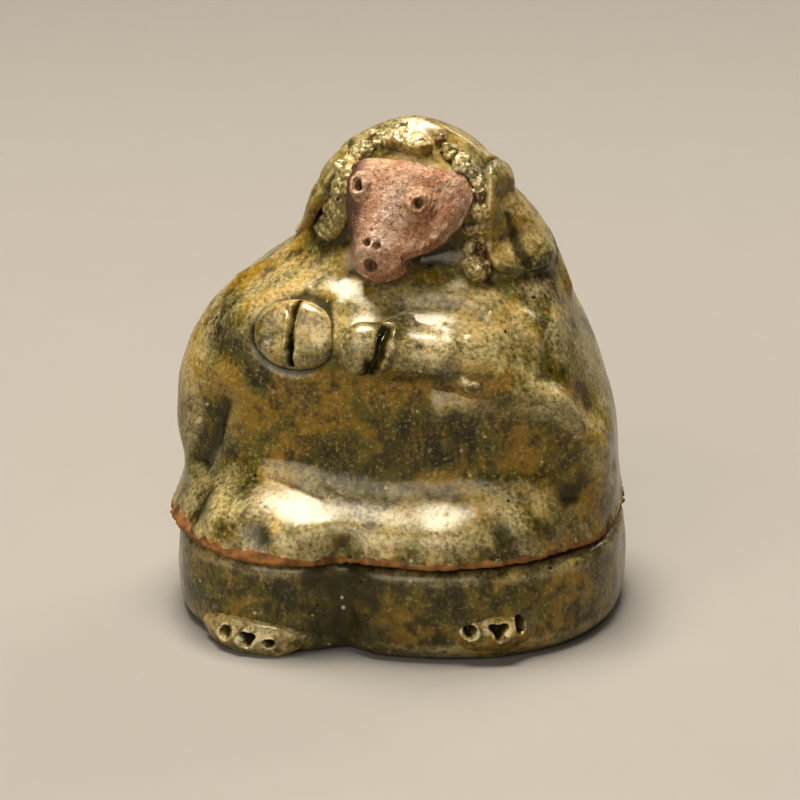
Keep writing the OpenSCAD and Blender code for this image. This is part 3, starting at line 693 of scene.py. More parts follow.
def glaze_material(colours):
    # Wood-ash glaze over dark stoneware. It ran in the kiln: dark green where it pooled, amber where it lies
    # thinner, straw-coloured and grainy where ash fell on it. That straw colour is also a painted sheen on
    # upward faces and a painted highlight along the dish's top edge. Its glassy skin gives hard highlights.
    material, tree = new_material("olive ash glaze")
    place = add(tree, "ShaderNodeTexCoord").outputs["Object"]
    hang = add(tree, "ShaderNodeMapping", {"Vector": place, "Scale": (1, 1, RUN_STRETCH)}).outputs["Vector"]
    pool, thin, bare = (
        add(tree, "ShaderNodeAttribute", attribute_name=mark).outputs["Fac"]
        for mark in ("pool", "thin", "bare"))
    patches, drifts, mottle, waves, runs, grain = (
        add(tree, "ShaderNodeTexNoise", {
            "Vector": vector, "Scale": per_mm(size), "Detail": detail, "Roughness": roughness,
            "Distortion": distortion,
        }).outputs[0]
        for vector, size, detail, roughness, distortion in (
            (place, 9.0, 4, 0.55, 0.7),
            (place, 5.0, 4, 0.60, 0.5),
            (place, 2.6, 5, 0.60, 0.0),
            (place, 2.2, 1, 0.50, 0.0),
            (hang, 2.0, 6, 0.65, 0.0),
            (place, 0.6, 4, 0.75, 0.0),
        ))
    holes, specks = (
        add(tree, "ShaderNodeTexVoronoi", {"Vector": place, "Scale": per_mm(size)}).outputs
        for size in (3.1, 1.7))
    values = {"thick": pool, "ragged": specks["Distance"], "frayed": bare}
    for name, value, weight in (
        ("thick", mottle, 1.2), ("ragged", mottle, 0.24), ("frayed", mottle, 0.35), ("frayed", grain, 0.30),
    ):
        values[name] = add(tree, "ShaderNodeMath", {
            0: value, 1: weight, 2: values[name]}, operation="MULTIPLY_ADD").outputs[0]
    paint, shown = layered(tree, colours.olive, (
        ("thin glaze", colours.amber, 0.9, (patches, 0.47, 0.58)),
        ("green glaze", colours.pool, 0.95, (patches, 0.47, 0.35)),
        ("iron", colours.brown, 0.85, (mottle, 0.47, 0.62)),
        ("runs", colours.amber, 0.5, (runs, 0.50, 0.68)),
        ("pale grain", colours.straw, 0.6, (grain, 0.51, 0.72)),
        ("dark grain", colours.pinhole, 0.45, (grain, 0.47, 0.30)),
        # Ash: straw where the glaze is marked thin, partly ash and broken glaze, partly a painted sheen and
        # highlight
        ("ash", colours.straw, 0.7, (thin, 0.05, 0.8), (drifts, 0.30, 0.60), (grain, 0.26, 0.60)),
        ("crust", colours.cream, 0.6, (thin, 0.80, 1.0), (grain, 0.34, 0.58)),
        ("burnt tips", colours.rim_dark, 0.8, (thin, 0.83, 0.87), (mottle, 0.56, 0.62)),
        # Pools: dark green where the glaze is marked thick, which in the hand's slits is also painted shade
        ("pools", colours.pool, 0.85, (values["thick"], 0.75, 1.45)),
        ("specks", colours.cream, 0.7, (specks["Color"], 0.76, 0.84), (values["ragged"], 0.34, 0.20)),
        ("pinholes", colours.pinhole, 1.0, (holes["Color"], 0.62, 0.66), (holes["Distance"], 0.085, 0.045)),
        ("bare clay", colours.rim_clay, 1.0, (values["frayed"], 0.76, 0.84)),
        ("toasted clay", colours.rim_dark, 1.0, (values["frayed"], 0.76, 0.84), (mottle, 0.40, 0.68)),
    ))
    values.update(roughness=0.16, height=0.0)
    for name, value, weight in (
        ("roughness", thin, 0.15), ("roughness", shown["bare clay"], 0.6),
        ("height", grain, 0.025), ("height", waves, 0.03),
        ("height", shown["specks"], 0.08), ("height", shown["pinholes"], -0.2),
    ):
        values[name] = add(tree, "ShaderNodeMath", {
            0: value, 1: weight, 2: values[name]}, operation="MULTIPLY_ADD").outputs[0]
    bump = add(tree, "ShaderNodeBump", {"Strength": 1.0, "Distance": MM, "Height": values["height"]})
    shader = add(tree, "ShaderNodeBsdfPrincipled", {
        "Base Color": paint, "Roughness": values["roughness"], "IOR": 1.58,
        "Specular Tint": (1.0, 0.96, 0.87, 1.0), "Normal": bump.outputs["Normal"]})
    add(tree, "ShaderNodeOutputMaterial", {"Surface": shader.outputs["BSDF"]})
    return material


def bare_clay_material(colours):
    # Red stoneware left bare, pressed with the fingers: dull and sandy. Its darker hollows, pricks and right
    # flank of the face are painted shade, and its paler ridge of the nose is a painted sheen.
    material, tree = new_material("bare red stoneware")
    place = add(tree, "ShaderNodeTexCoord").outputs["Object"]
    pool, thin = (
        add(tree, "ShaderNodeAttribute", attribute_name=mark).outputs["Fac"] for mark in ("pool", "thin"))
    flush, sand = (
        add(tree, "ShaderNodeTexNoise", {
            "Vector": place, "Scale": per_mm(size), "Detail": 4, "Roughness": roughness,
        }).outputs[0] for size, roughness in ((5.0, 0.60), (0.7, 0.75)))
    paint, _ = layered(tree, colours.face_clay, (
        ("flush", colours.face_flush, 1.0, (flush, 0.38, 0.64)),
        # Paler where the face is marked thin, which along the nose is a painted sheen
        ("rubbed", colours.face_pale, 0.5, (thin, 0.05, 0.9), (sand, 0.25, 0.66)),
        ("sand", colours.face_pale, 0.6, (sand, 0.52, 0.70)),
        ("pits", colours.face_dark, 0.6, (sand, 0.47, 0.34)),
        # Darker in the hollows, the pricks and down the face's right flank: painted shade
        ("painted shade", colours.face_dark, 0.9, (pool, 0.1, 0.9)),
    ))
    bump = add(tree, "ShaderNodeBump", {"Strength": 1.0, "Distance": 0.6 * MM, "Height": sand})
    shader = add(tree, "ShaderNodeBsdfPrincipled", {
        "Base Color": paint, "Roughness": 0.40, "IOR": 1.62, "Normal": bump.outputs["Normal"]})
    add(tree, "ShaderNodeOutputMaterial", {"Surface": shader.outputs["BSDF"]})
    return material


def paper_material(colours):
    # Matt background paper, with the faint clouding of its pulp.
    material, tree = new_material("background paper")
    place = add(tree, "ShaderNodeTexCoord").outputs["Object"]
    pulp = add(tree, "ShaderNodeTexNoise", {
        "Vector": place, "Scale": per_mm(14), "Detail": 6, "Roughness": 0.6})
    factor = add(tree, "ShaderNodeMapRange", {"Value": pulp.outputs[0], "To Min": 0.0, "To Max": 0.25})
    paint = add(tree, "ShaderNodeMix", {
        FACTOR: factor.outputs["Result"], COLOUR_A: (*colours.paper, 1), COLOUR_B: (*colours.paper_dark, 1),
    }, data_type="RGBA")
    shader = add(tree, "ShaderNodeBsdfPrincipled", {
        "Base Color": paint.outputs[COLOUR_OUT], "Roughness": 0.8})
    add(tree, "ShaderNodeOutputMaterial", {"Surface": shader.outputs["BSDF"]})
    return material


def length(name, description, millimetres):
    return bpy.props.FloatProperty(
        name=name, description=description, default=millimetres * MM, unit="LENGTH", precision=5)


def colour(name, description, code):
    return bpy.props.FloatVectorProperty(
        name=name, description=description, default=linear(code), subtype="COLOR")


class BoxSizes(bpy.types.PropertyGroup):
    """Sizes of the incense box"""

    body_width: length("Body width", "Width of the figure at the seam", 62.4)
    body_depth: length("Body depth", "Depth of the figure at the seam", 52.0)
    seam_height: length("Seam height", "Height of the seam over the table", SEAM_HEIGHT / MM)
    lid_height: length("Lid height", "Height of the lid from the seam to the crown", 57.2)
    crown_height: length("Crown height", "Height of the rounded crown of the head", 8.8)
    seat_width: length("Seat width", "Width of the seat under the lid", 6.0)
    flange_thickness: length("Flange thickness", "Thickness of the flange that keeps the lid in place", 2.2)
    flange_height: length("Flange height", "Height of the flange over the seam", 3.2)
    flange_clearance: length("Flange clearance", "Clearance between the flange and the lid", 0.4)
    lid_wall: length("Lid wall", "Thinnest wall of the lid", 3.6)
    hollow_height: length("Hollow height", "Height of the hollow inside the lid", 40.0)
    floor_thickness: length("Floor thickness", "Thickness of the dish's floor", 4.0)
    dish_setback: length("Dish setback", "How far the dish stands back from the lid's edge", 0.9)
    lid_askew: length("Lid askew", "How far the lid sits askew on the dish", 0.8)
    finger_marks: length("Finger marks", "Depth of the dents that the fingers left in the clay", 0.30)
    rim_chips: length("Rim chips", "Depth of the chips along the lid's cut edge", 0.32)


class BoxColours(bpy.types.PropertyGroup):
    """Colours of the glaze, the clay and the paper"""

    olive: colour("Olive", "Glaze of middling thickness", "#5a5415")
    amber: colour("Amber", "Glaze that lies thin", "#866b1d")
    brown: colour("Brown", "Iron that came up through the glaze", "#42340e")
    pool: colour("Pool", "Glaze that ran together in the hollows", "#282607")
    # Straw also paints the sheen on upward faces and the highlight along the dish's top edge
    straw: colour("Straw", "Glaze that broke over an edge or took up ash", "#b4a67e")
    cream: colour("Cream", "Specks and crust of melted feldspar", "#c6bc9a")
    pinhole: colour("Pinhole", "Pinholes and dark grain in the glaze", "#151104")
    rim_clay: colour("Rim clay", "Toasted clay where the glaze stops", "#866030")
    rim_dark: colour("Rim shade", "Darker patches of the toasted clay", "#583a19")
    face_clay: colour("Face clay", "Bare clay of the face", "#b69678")
    face_flush: colour("Face flush", "Redder patches of the face", "#9a6a42")
    # Face sand also paints the sheen along the nose
    face_pale: colour("Face sand", "Pale sand grains and rubbed places of the face", "#e8d8c6")
    # The face hollows colour also paints the shade in the face's hollows and down its right flank
    face_dark: colour("Face hollows", "Scorched hollows of the face", "#4a2609")
    paper: colour("Paper", "Background paper", "#8a867f")
    paper_dark: colour("Paper clouds", "Darker clouds in the paper", "#827e76")


def figure_of(context):
    return Figure(context.scene.incense_box_sizes)


def glaze_of(context):
    return glaze_material(context.scene.incense_box_colours)


class INCENSEBOX_OT_lid(bpy.types.Operator):
    """Model the hollow figure that is the lid of the box"""

    bl_idname = "incensebox.lid"
    bl_label = "Lid"

    COLUMNS = 440
    CROWN_ROWS = 36
    CROWN_START = 88.5
    BODY_ROWS = 150
    RIM_LIFT = 1.0
    RIM_ROUND = 0.35
    RIM_WIDTH = 3.0
    SEAT_GAP = 0.02
    HOLLOW_ROWS = 9
    HOLLOW_SQUARENESS = 2.6
    # The right knee hangs over the dish, and the left one a little: azimuth, spread and sag
    RIGHT_KNEE = (-122, 27, 0.8)
    LEFT_KNEE = (-66, 16, 0.5)
    KNEE_SWELL = 0.9
    # Dents and ridges of the fingers, as shares of their depth, with their sizes and seeds
    FINGER_MARKS = ((1.0, 8.0, 11), (0.2, 3.0, 12), (0.06, 1.4, 13))
    # How the clay rises beside a piece that is pressed on, and how much glaze runs together there
    HAND_SEAM = (-0.45, 0.9)
    PAD_SEAM = (0.35, 0.5)
    DIMPLE_POOL = 0.7

    def execute(self, context):
        sizes = context.scene.incense_box_sizes
        figure = Figure(sizes)
        azimuths = columns(self.COLUMNS)
        edge = figure.seam + self.RIM_LIFT + self.RIM_ROUND
        rounding = np.radians(np.linspace(self.CROWN_START, 0, self.CROWN_ROWS))
        crown = figure.height(1) + figure.crown_h * np.sin(rounding)
        body = np.linspace(figure.height(1), edge, self.BODY_ROWS)[1:]
        az, z = np.meshgrid(azimuths, np.concatenate([crown, body]))
        points = figure.lid(az, z)
        normals = outward(figure.lid, az, np.minimum(z, figure.top - STEP_UP - 0.01))
        rise, pooled = self.modelled(figure, az, z, points, sizes.finger_marks / MM)
        outside = points + rise[..., None] * normals
        self.hang(outside, normals, az, z - edge, sizes.rim_chips / MM)
        rings = np.concatenate([outside, self.underside(figure, azimuths, outside[-1], normals[-1])])

        lap = ease(14.0, 5.0, z - edge) * bell(turn_from(az, -90), 60)
        marks = clay_marks(outside, 60, pooled, 0.2 * lap)
        hidden = np.zeros((len(rings) - len(outside), self.COLUMNS))
        marks = {mark: np.concatenate([values, hidden]) for mark, values in marks.items()}
        band = (0.5 + 0.6 * bell(turn_from(azimuths, -140), 30)) * (1 + 0.8 * lumps(outside[-1], 1.6, 75))
        marks["bare"][:len(outside)] = np.clip(1 - (z - edge) / (2 * band), 0, 1)
        marks["bare"][len(outside):] = 1
        piece = make_piece("figure_lid", rings, glaze_of(context), marks)
        stand_for(piece, "lid_shell", "lid")
        return {"FINISHED"}

    def modelled(self, figure, az, z, points, depth):
        """Rise of the clay over the form, and where glaze pooled in it."""
        rise = depth * uneven(points, *self.FINGER_MARKS)
        rise += stroked(points, HEAD_STROKES, lambda spot: figure.lid_spot(*spot))
        dimples = figure.stroked(figure.wobbled(az, figure.share(z)), DIMPLES)
        rise += dimples
        pooled = self.DIMPLE_POOL * dimples / DIMPLES[0].rise
        for name, (sheet, outline) in pressed_places(figure).items():
            flat = sheet.flat(az, z)
            near = np.linalg.norm(flat, axis=-1) < np.linalg.norm(outline, axis=-1).max() + 3
            away = beyond(flat[near], outline)
            lift, run = self.HAND_SEAM if name == "right_hand" else self.PAD_SEAM
            rise[near] += lift * bell(np.maximum(away, 0), 0.9)
            pooled[near] += run * bell(away - 0.1, 0.8)
        return rise, pooled

    def hang(self, outside, normals, az, above, chip):
        """Lets the lower edge hang over the dish at the knees, and chips it."""
        at, spread, sag = self.RIGHT_KNEE
        knee = bell(turn_from(az, at), spread)
        outside += (self.KNEE_SWELL * knee * ease(8.0, 0.0, above))[..., None] * normals
        low = ease(3.0, 0.3, above)
        chips = chip * uneven(outside, (0.7, 1.1, 71), (0.8, 0.6, 72)) * low
        outside += chips[..., None] * normals
        drop = uneven(outside[-1], (0.45, 6.0, 73), (0.10, 0.7, 74)) - sag * knee[-1]
        at, spread, sag = self.LEFT_KNEE
        drop -= sag * bell(turn_from(az[-1], at), spread)
        outside[..., 2] += drop * low

    def underside(self, figure, azimuths, lowest, normals):
        """Rings of the rounded rim, the face that rests on the dish and the hollow."""
        rings = []
        for angle in np.radians((30, 60, 90)):
            ring = lowest - self.RIM_ROUND * (1 - math.cos(angle)) * normals * (1, 1, 0)
            ring[:, 2] -= self.RIM_ROUND * math.sin(angle)
            rings.append(ring)
        seam_r = figure.seam_radius(azimuths)
        mouth_r = seam_r - figure.seat_w + figure.flange_gap
        rest = figure.seam + self.SEAT_GAP
        flange_top = figure.seam + figure.flange_h + figure.flange_gap
        for radius, level in ((seam_r - self.RIM_WIDTH, rest), (mouth_r, rest), (mouth_r, flange_top)):
            rings.append(figure.around(AXIS, azimuths, radius, level))
        n = self.HOLLOW_SQUARENESS
        for t in np.linspace(0.1, 0.96, self.HOLLOW_ROWS):
            level = flange_top + (figure.seam + figure.hollow_h - flange_top) * math.sin(math.pi / 2 * t)
            dome = (1 - ((level - figure.seam) / figure.hollow_h) ** n) ** (1 / n)
            wall_r = figure.lid_radius(azimuths, np.full_like(azimuths, level), fine=False) - figure.wall
            rings.append(figure.around(AXIS, azimuths, np.minimum(mouth_r * dome, wall_r), level))
        return rings


class INCENSEBOX_OT_arms(bpy.types.Operator):
    """Model the right hand and the left forearm with its hand"""

    bl_idname = "incensebox.arms"
    bl_label = "Arms"

    SINK = 0.7
    # How much darker the slits are painted: pooled glaze and painted shade inside them
    SLIT_DARK = 1.4
    HAND_L = 12.2
    HAND_W = 9.4
    HAND_T = 1.9
    HAND_TURN = 5.0
    HAND_SQUARENESS = 3.2
    HAND_SLIT = 2.0
    # The clay pushed up beside the slit, the fork at its upper end and two pressed places
    HAND_STROKES = (
        Stroke(((-0.6, -2.2), (-0.6, 3.8)), 0.4, 0.45),
        Stroke(((0.1, 1.4), (-1.0, 3.2)), -0.5, 0.30),
        Stroke(((-2.4, -0.6),), -0.5, 1.4),
        Stroke(((2.9, 1.2),), -0.35, 1.5),
    )
    ARM_W = 6.6
    ARM_T = 3.2
    ARM_STEPS = 150
    ARM_SIDES = 64
    ARM_REACH = 19
    ARM_SLIT = 1.9

    def execute(self, context):
        figure = figure_of(context)
        glaze = glaze_of(context)
        rings, slit = self.hand(figure)
        marks = clay_marks(rings, 12, ashen=0.75, level=True)
        # The slit is painted darker: glaze pooled in it, and painted shade inside it
        marks["pool"][:FRONT_RINGS] += self.SLIT_DARK * slit
        marks["thin"][:FRONT_RINGS] -= self.SLIT_DARK * slit
        piece = make_piece("right_hand_disc", rings, glaze, marks)
        stand_for(piece, "right_hand", "lid")

        rings, slit, nub = self.forearm(figure)
        marks = clay_marks(rings, 12, ashen=0.2, level=True)
        # The hand's slit is painted darker: pooled glaze, and painted shade inside it
        marks["pool"] += self.SLIT_DARK * slit
        marks["thin"] += 0.6 * nub - self.SLIT_DARK * slit
        piece = make_piece("left_forearm", rings, glaze, marks)
        stand_for(piece, "left_arm", "lid")
        return {"FINISHED"}

    def hand(self, figure):
        """A flat disc with a ragged slit. Gives its rings, and where its front lies in the slit."""
        sheet, outline = pressed_places(figure)["right_hand"]
        points, normals = sheet.laid(outline)
        facing = normals.mean(0) / np.linalg.norm(normals.mean(0))
        turn = math.degrees(math.atan2(facing[1], facing[0]))
        plane = Plane(points.mean(0), turn + self.HAND_TURN, math.degrees(math.asin(facing[2])))

        def slit(flat):
            ragged = 0.18 * lumps(plane.laid(flat)[0], 0.7, 26)[..., None] * (1, 0)
            return groove(flat + ragged, (0.2, -4.0), (0.2, 4.3), 0.30)

        def front(flat, share):
            top = (self.HAND_T + self.SINK) * rounded(share, self.HAND_SQUARENESS) - self.SINK
            return top - self.HAND_SLIT * slit(flat) + stroked(flat, self.HAND_STROKES)

        outline = oval(self.HAND_L, self.HAND_W, 200)
        rings = pad_rings(plane, outline, front, sunk(self.SINK + 1.2), 0.16, 21)
        return rings, slit(pad_front(outline)[0])

    def forearm(self, figure):
        """A roll of clay across the chest, full at the hand and spread out into the chest and upper arm.

        Gives its rings, where they lie in the slit of the hand and where a nub of clay stands out."""
        along = np.linspace(0, 1, self.ARM_STEPS)
        path = np.array(ARM_PATH)
        place = along * (len(path) - 1)
        az = np.interp(place, range(len(path)), path[:, 0])
        z = figure.height(np.interp(place, range(len(path)), path[:, 1]))
        start = np.clip(1 - (1 - np.clip(along / 0.09, 0, 1)) ** 2, 0, 1) ** 0.5
        spread = ease(0.12, 0.34, along)
        fade = 1 - ease(0.40, 1.0, along)
        half = (self.ARM_W / 2 + 1.8 * spread) * start
        thick = (self.ARM_T - 0.9 * spread) * fade * start
        turn = np.linspace(0, 2 * math.pi, self.ARM_SIDES, endpoint=False)
        side = np.cos(turn)
        full = (1 - side**2) ** 0.4
        smeared = (1 + np.cos(math.pi * side)) / 2
        section = full + (smeared - full) * spread[:, None]
        front = thick[:, None] * section - 0.25 * side**2
        back = -0.25 - 0.5 * (1 - side**2)

        up = half[:, None] * side
        spot_z = z[:, None] + up
        spot_az = np.repeat(az[:, None], self.ARM_SIDES, 1)
        under = figure.lid(spot_az, spot_z)
        normal = outward(figure.lid, spot_az, spot_z)
        flat = np.stack([np.radians(spot_az - az[0]) * self.ARM_REACH, up], -1)
        ragged = 0.35 * lumps(under, 0.8, 22)[..., None] * (1, 0)
        slit = groove(flat + ragged, (2.9, -2.3), (4.7, 2.2), 0.6)
        lip = groove(flat + ragged, (4.2, -2.3), (5.8, 2.2), 0.6)
        nub = bell(np.linalg.norm(flat - (14.4, -2.6), axis=-1), 1.0)
        crumbly = 0.5 + 0.5 * lumps(under, 0.8, 25)
        rise = 1.5 * nub * (0.6 + crumbly) + 0.7 * lip * crumbly - self.ARM_SLIT * slit
        out = np.where(np.sin(turn) > 0, front + rise, back)
        out = out + uneven(under, (0.16, 2.2, 23), (0.06, 0.9, 24))
        return under + out[..., None] * normal, slit, nub


class INCENSEBOX_OT_face(bpy.types.Operator):
    """Model the leaf of bare clay that is the face, and the rings of its eyes"""

    bl_idname = "incensebox.face"
    bl_label = "Face"

    EDGE = 0.9
    DEPTH = 5.6
    WALL_RINGS = 6
    # The ridge of the nose, the snout and the hollow of the left cheek
    STROKES = (
        Stroke(((-0.2, 5.2), (-2.8, -2.6)), 0.9, 2.3),
        Stroke(((-2.6, -4.6),), 0.8, 3.0),
        Stroke(((3.4, -1.2),), -0.3, 2.4),
    )
    # Pricks of the nostrils, the mouth and the eyes, and how deep they are
    PRICKS = (
        (Prick(-3.4, -2.6, 0.55), 1.2), (Prick(-2.0, -2.9, 0.55), 1.2), (Prick(-2.9, -5.6, 0.95), 2.0),
        (Prick(*RIGHT_EYE, 0.7), 1.6), (Prick(*LEFT_EYE, 0.65), 1.6),
    )
    EYE_RISE = 1.15
    EYE_SINK = 1.0
    SLOPE_STEP = 0.3

    def execute(self, context):
        figure = figure_of(context)
        clay = bare_clay_material(context.scene.incense_box_colours)
        plane = face_plane(figure)
        outline = round_outline(FACE_OUTLINE, 240)
        torn = np.concatenate([outline, np.zeros_like(outline[:, :1])], -1)
        outline *= 1 + 0.022 * lumps(torn, 1.3, 36)[:, None]

        def front(flat, share):
            top = self.surface(flat) - self.EDGE * ease(0.80, 1.0, share) ** 2
            top = top + 0.05 * lumps(plane.laid(flat)[0], 0.6, 39)
            for prick, depth in self.PRICKS:
                top = top - depth * pit(flat, prick)
            return top

        rings = pad_rings(plane, outline, front, sunk(self.DEPTH), 0.10, 31, self.WALL_RINGS)
        wall = slice(FRONT_RINGS, FRONT_RINGS + self.WALL_RINGS)
        rings[wall] += 0.25 * lumps(rings[wall], 0.9, 37)[..., None] * (1, -1, 0)
        flat = plane.flat(rings)
        # Painted shade in the face's hollows and pricks, and down its lower right flank, which turns away
        # from the light
        marks = clay_marks(rings, 10, level=True)
        marks["pool"] += 0.9 * ease(-3.2, -6.8, flat[..., 0]) * ease(-6.0, -2.0, flat[..., 1])
        # Painted sheen: paler clay along the ridge of the nose and in a patch beside the left eye, where the
        # light falls
        marks["thin"] = 0.8 * groove(flat, (0.3, 4.0), (-1.9, -2.4), 2.4)
        marks["thin"] += 0.15 * bell(np.linalg.norm(flat - (5.6, 4.0), axis=-1), 2.6)
        piece = make_piece("face_leaf", rings, clay, marks)
        stand_for(piece, "face_plaque", "lid")
        for name, node, place, radius, hole, stretch, seed in (
            ("right_eye_rim", "right_eye_ring", RIGHT_EYE, 1.9, 0.60, 1.25, 33),
            ("left_eye_cone", "left_eye_ring", LEFT_EYE, 2.7, 0.58, 1.0, 35),
        ):
            rings = self.eye(plane, np.array(place), radius, hole, stretch, seed)
            # Painted shade in the hole of each eye
            marks = clay_marks(rings, 6, level=True)
            marks["thin"] *= 0.25
            piece = make_piece(name, rings, clay, marks, loop=True)
            stand_for(piece, node, "lid")
        return {"FINISHED"}

    def surface(self, flat):
        """Height of the face over its plane: a leaf that falls off to both sides, with a snout."""
        across, up = flat[..., 0], flat[..., 1]
        top = 0.6 - 0.010 * up**2 - 0.05 * np.maximum(across - 1.5, 0) ** 2
        top = top - 0.045 * np.maximum(-across - 1.5, 0) ** 2
        return top + stroked(flat, self.STROKES)

    def eye(self, plane, place, radius, hole, stretch, seed):
        """A mound of clay pushed up round a pricked hole."""
        here, out = plane.laid(place)
        here = here + self.surface(place) * out
        slope = [(self.surface(place + step) - self.surface(place - step)) / (2 * self.SLOPE_STEP)
                 for step in np.eye(2) * self.SLOPE_STEP]
        across = plane.across + slope[0] * out
        across /= np.linalg.norm(across)
        up = plane.up + slope[1] * out
        up -= (up @ across) * across
        up /= np.linalg.norm(up)
        out = np.cross(across, up)
        turn = np.linspace(0, 2 * math.pi, 96, endpoint=False)
        direction = np.cos(turn)[:, None] * across + stretch * np.sin(turn)[:, None] * up
        reach = np.linspace(hole, radius, 26)
        lip = 0.65 + 0.35 * ease(hole, 1.6 * hole, reach)
        mound = self.EYE_RISE * lip * bell(np.maximum(reach - 1.5 * hole, 0), 0.5 * (radius - hole)) - 0.15
        reach = np.concatenate([np.full(6, hole), reach, np.full(3, radius)])
        inner = np.linspace(-self.EYE_SINK, 0.4, 6)
        outer = np.linspace(-0.4, -self.EYE_SINK, 3)
        high = np.concatenate([inner, mound, outer])
        rings = here + reach[:, None, None] * direction + high[:, None, None] * out
        rings = rings + uneven(rings, (0.16, 0.9, seed), (0.14, 0.45, seed + 1))[..., None] * out
        return rings + (0.16 * lumps(rings, 0.7, seed + 2))[..., None] * direction


class INCENSEBOX_OT_hair(bpy.types.Operator):
    """Model the brow, the lock of hair and the crumbs of clay round the face"""

    bl_idname = "incensebox.hair"
    bl_label = "Hair"

    SINK = 0.6
    # Runs of crumbs round the face: their path on its sheet, how many there are and the width of the largest
    RUNS = (
        (((-10.0, 8.0), (-10.2, 5.4), (-10.8, 3.0), (-11.2, 1.0)), 56, 1.5),
        (((-9.8, 8.6), (-9.4, 10.6), (-8.0, 11.8), (-5.0, 12.5)), 52, 1.2),
        (((7.6, 11.0), (9.2, 8.9), (10.2, 6.9), (10.6, 4.3), (10.7, 1.8)), 44, 1.1),
        (((10.7, 1.8), (10.4, -2.0), (9.8, -5.1), (9.0, -7.2)), 34, 1.2),
    )
    LEAST_WIDTH = 0.35
    SCATTER = 0.6
    # Larger nodules along the figure's left side of the face
    NODULES = ((9.3, 8.7), (10.6, 1.7), (9.0, -7.4))
    NODULE_WIDTHS = (1.6, 1.8, 1.8)
    CRUMB_LIFT = 0.05

    def execute(self, context):
        figure = figure_of(context)
        glaze = glaze_of(context)
        places = pressed_places(figure)
        for name, node, place, thick, squareness, ashen, seed in (
            ("brow_bean", "brow_pad", "brow", 1.9, 3.0, 0.4, 41),
            ("hair_lock", "right_hair_lock", "lock", 0.9, 5.0, 0.3, 43),
        ):
            sheet, outline = places[place]

            def front(flat, share):
                crumbly = uneven(sheet.laid(flat)[0], (0.16, 0.8, seed + 8), (0.10, 0.4, seed + 9))
                return (thick + self.SINK) * rounded(share, squareness) - self.SINK + crumbly

            rings = pad_rings(sheet, outline, front, sunk(self.SINK + 0.4), 0.3, seed)
            marks = clay_marks(rings, 10, level=True)
            marks["thin"] += ashen
            piece = make_piece(name, rings, glaze, marks)
            stand_for(piece, node, "lid")
        self.crumbs(figure, glaze)
        return {"FINISHED"}

    def crumbs(self, figure, glaze):
        rng = np.random.default_rng(47)
        spots, widths = [], []
        for path, count, largest in self.RUNS:
            path = np.array(path)
            place = np.linspace(0, len(path) - 1, count)
            middle = np.stack([np.interp(place, range(len(path)), path[:, axis]) for axis in (0, 1)], -1)
            spots.append(middle + rng.normal(0, self.SCATTER, (count, 2)))
            widths.append(rng.uniform(self.LEAST_WIDTH, largest, count))
        spots = np.concatenate([*spots, self.NODULES])
        widths = np.concatenate([*widths, self.NODULE_WIDTHS])
        shapes = widths[:, None] * rng.uniform(0.55, 1.1, (len(widths), 3))
        under, normal = lid_sheet(figure, FACE_SPOT).laid(spots)
        piece = scatter_crumbs("hair_fringe", under + self.CRUMB_LIFT * normal, shapes, glaze)
        stand_for(piece, "hair_crumbs", "lid")


# Crumbs of clay: the voxels in which they are merged, in millimetres, and their marks
CRUMB_VOXEL = 0.14
CRUMB_MARKS = {"pool": 0.0, "thin": 0.87, "bare": 0.0}


def crumb_tree():
    """Geometry nodes that put a lumpy crumb of clay on every point of a mesh."""
    tree = bpy.data.node_groups.new("clay crumbs", "GeometryNodeTree")
    for name, kind, way in (
        ("Geometry", "NodeSocketGeometry", "INPUT"), ("Lump Size", "NodeSocketFloat", "INPUT"),
        ("Lump Height", "NodeSocketFloat", "INPUT"), ("Seed", "NodeSocketInt", "INPUT"),
        ("Material", "NodeSocketMaterial", "INPUT"), ("Geometry", "NodeSocketGeometry", "OUTPUT"),
    ):
        tree.interface.new_socket(name, in_out=way, socket_type=kind)
    given = add(tree, "NodeGroupInput").outputs
    ball = add(tree, "GeometryNodeMeshIcoSphere", {"Radius": 1.0, "Subdivisions": 3})
    shape = add(tree, "GeometryNodeInputNamedAttribute", {"Name": "shape"}, data_type="FLOAT_VECTOR")
    turn = add(tree, "FunctionNodeRandomValue", {
        1: (math.tau,) * 3, "Seed": given["Seed"]}, data_type="FLOAT_VECTOR")
    points = add(tree, "GeometryNodeMeshToPoints", {"Mesh": given["Geometry"]})
    crumbs = add(tree, "GeometryNodeInstanceOnPoints", {
        "Points": points.outputs["Points"], "Instance": ball.outputs["Mesh"],
        "Rotation": turn.outputs[0], "Scale": shape.outputs["Attribute"]})
    real = add(tree, "GeometryNodeRealizeInstances", {"Geometry": crumbs.outputs["Instances"]})
    place = add(tree, "GeometryNodeInputPosition")
    rate = add(tree, "ShaderNodeMath", {0: 1.0, 1: given["Lump Size"]}, operation="DIVIDE")
    noise = add(tree, "ShaderNodeTexNoise", {
        "Vector": place.outputs["Position"], "Scale": rate.outputs[0], "Detail": 2.0})
    level = add(tree, "ShaderNodeVectorMath", {
        0: noise.outputs["Color"], 1: (0.5, 0.5, 0.5)}, operation="SUBTRACT")
    push = add(tree, "ShaderNodeVectorMath", {
        0: level.outputs["Vector"], "Scale": given["Lump Height"]}, operation="SCALE")
    lumpy = add(tree, "GeometryNodeSetPosition", {
        "Geometry": real.outputs["Geometry"], "Offset": push.outputs["Vector"]})
    smooth = add(tree, "GeometryNodeSetShadeSmooth", {0: lumpy.outputs["Geometry"]})
    dressed = add(tree, "GeometryNodeSetMaterial", {
        "Geometry": smooth.outputs[0], "Material": given["Material"]})
    add(tree, "NodeGroupOutput", {"Geometry": dressed.outputs["Geometry"]})
    return tree


def evaluated_mesh(host):
    """A plain mesh of an object with its modifiers, which are then removed."""
    mesh = bpy.data.meshes.new_from_object(host.evaluated_get(bpy.context.evaluated_depsgraph_get()))
    host.modifiers.clear()
    return mesh


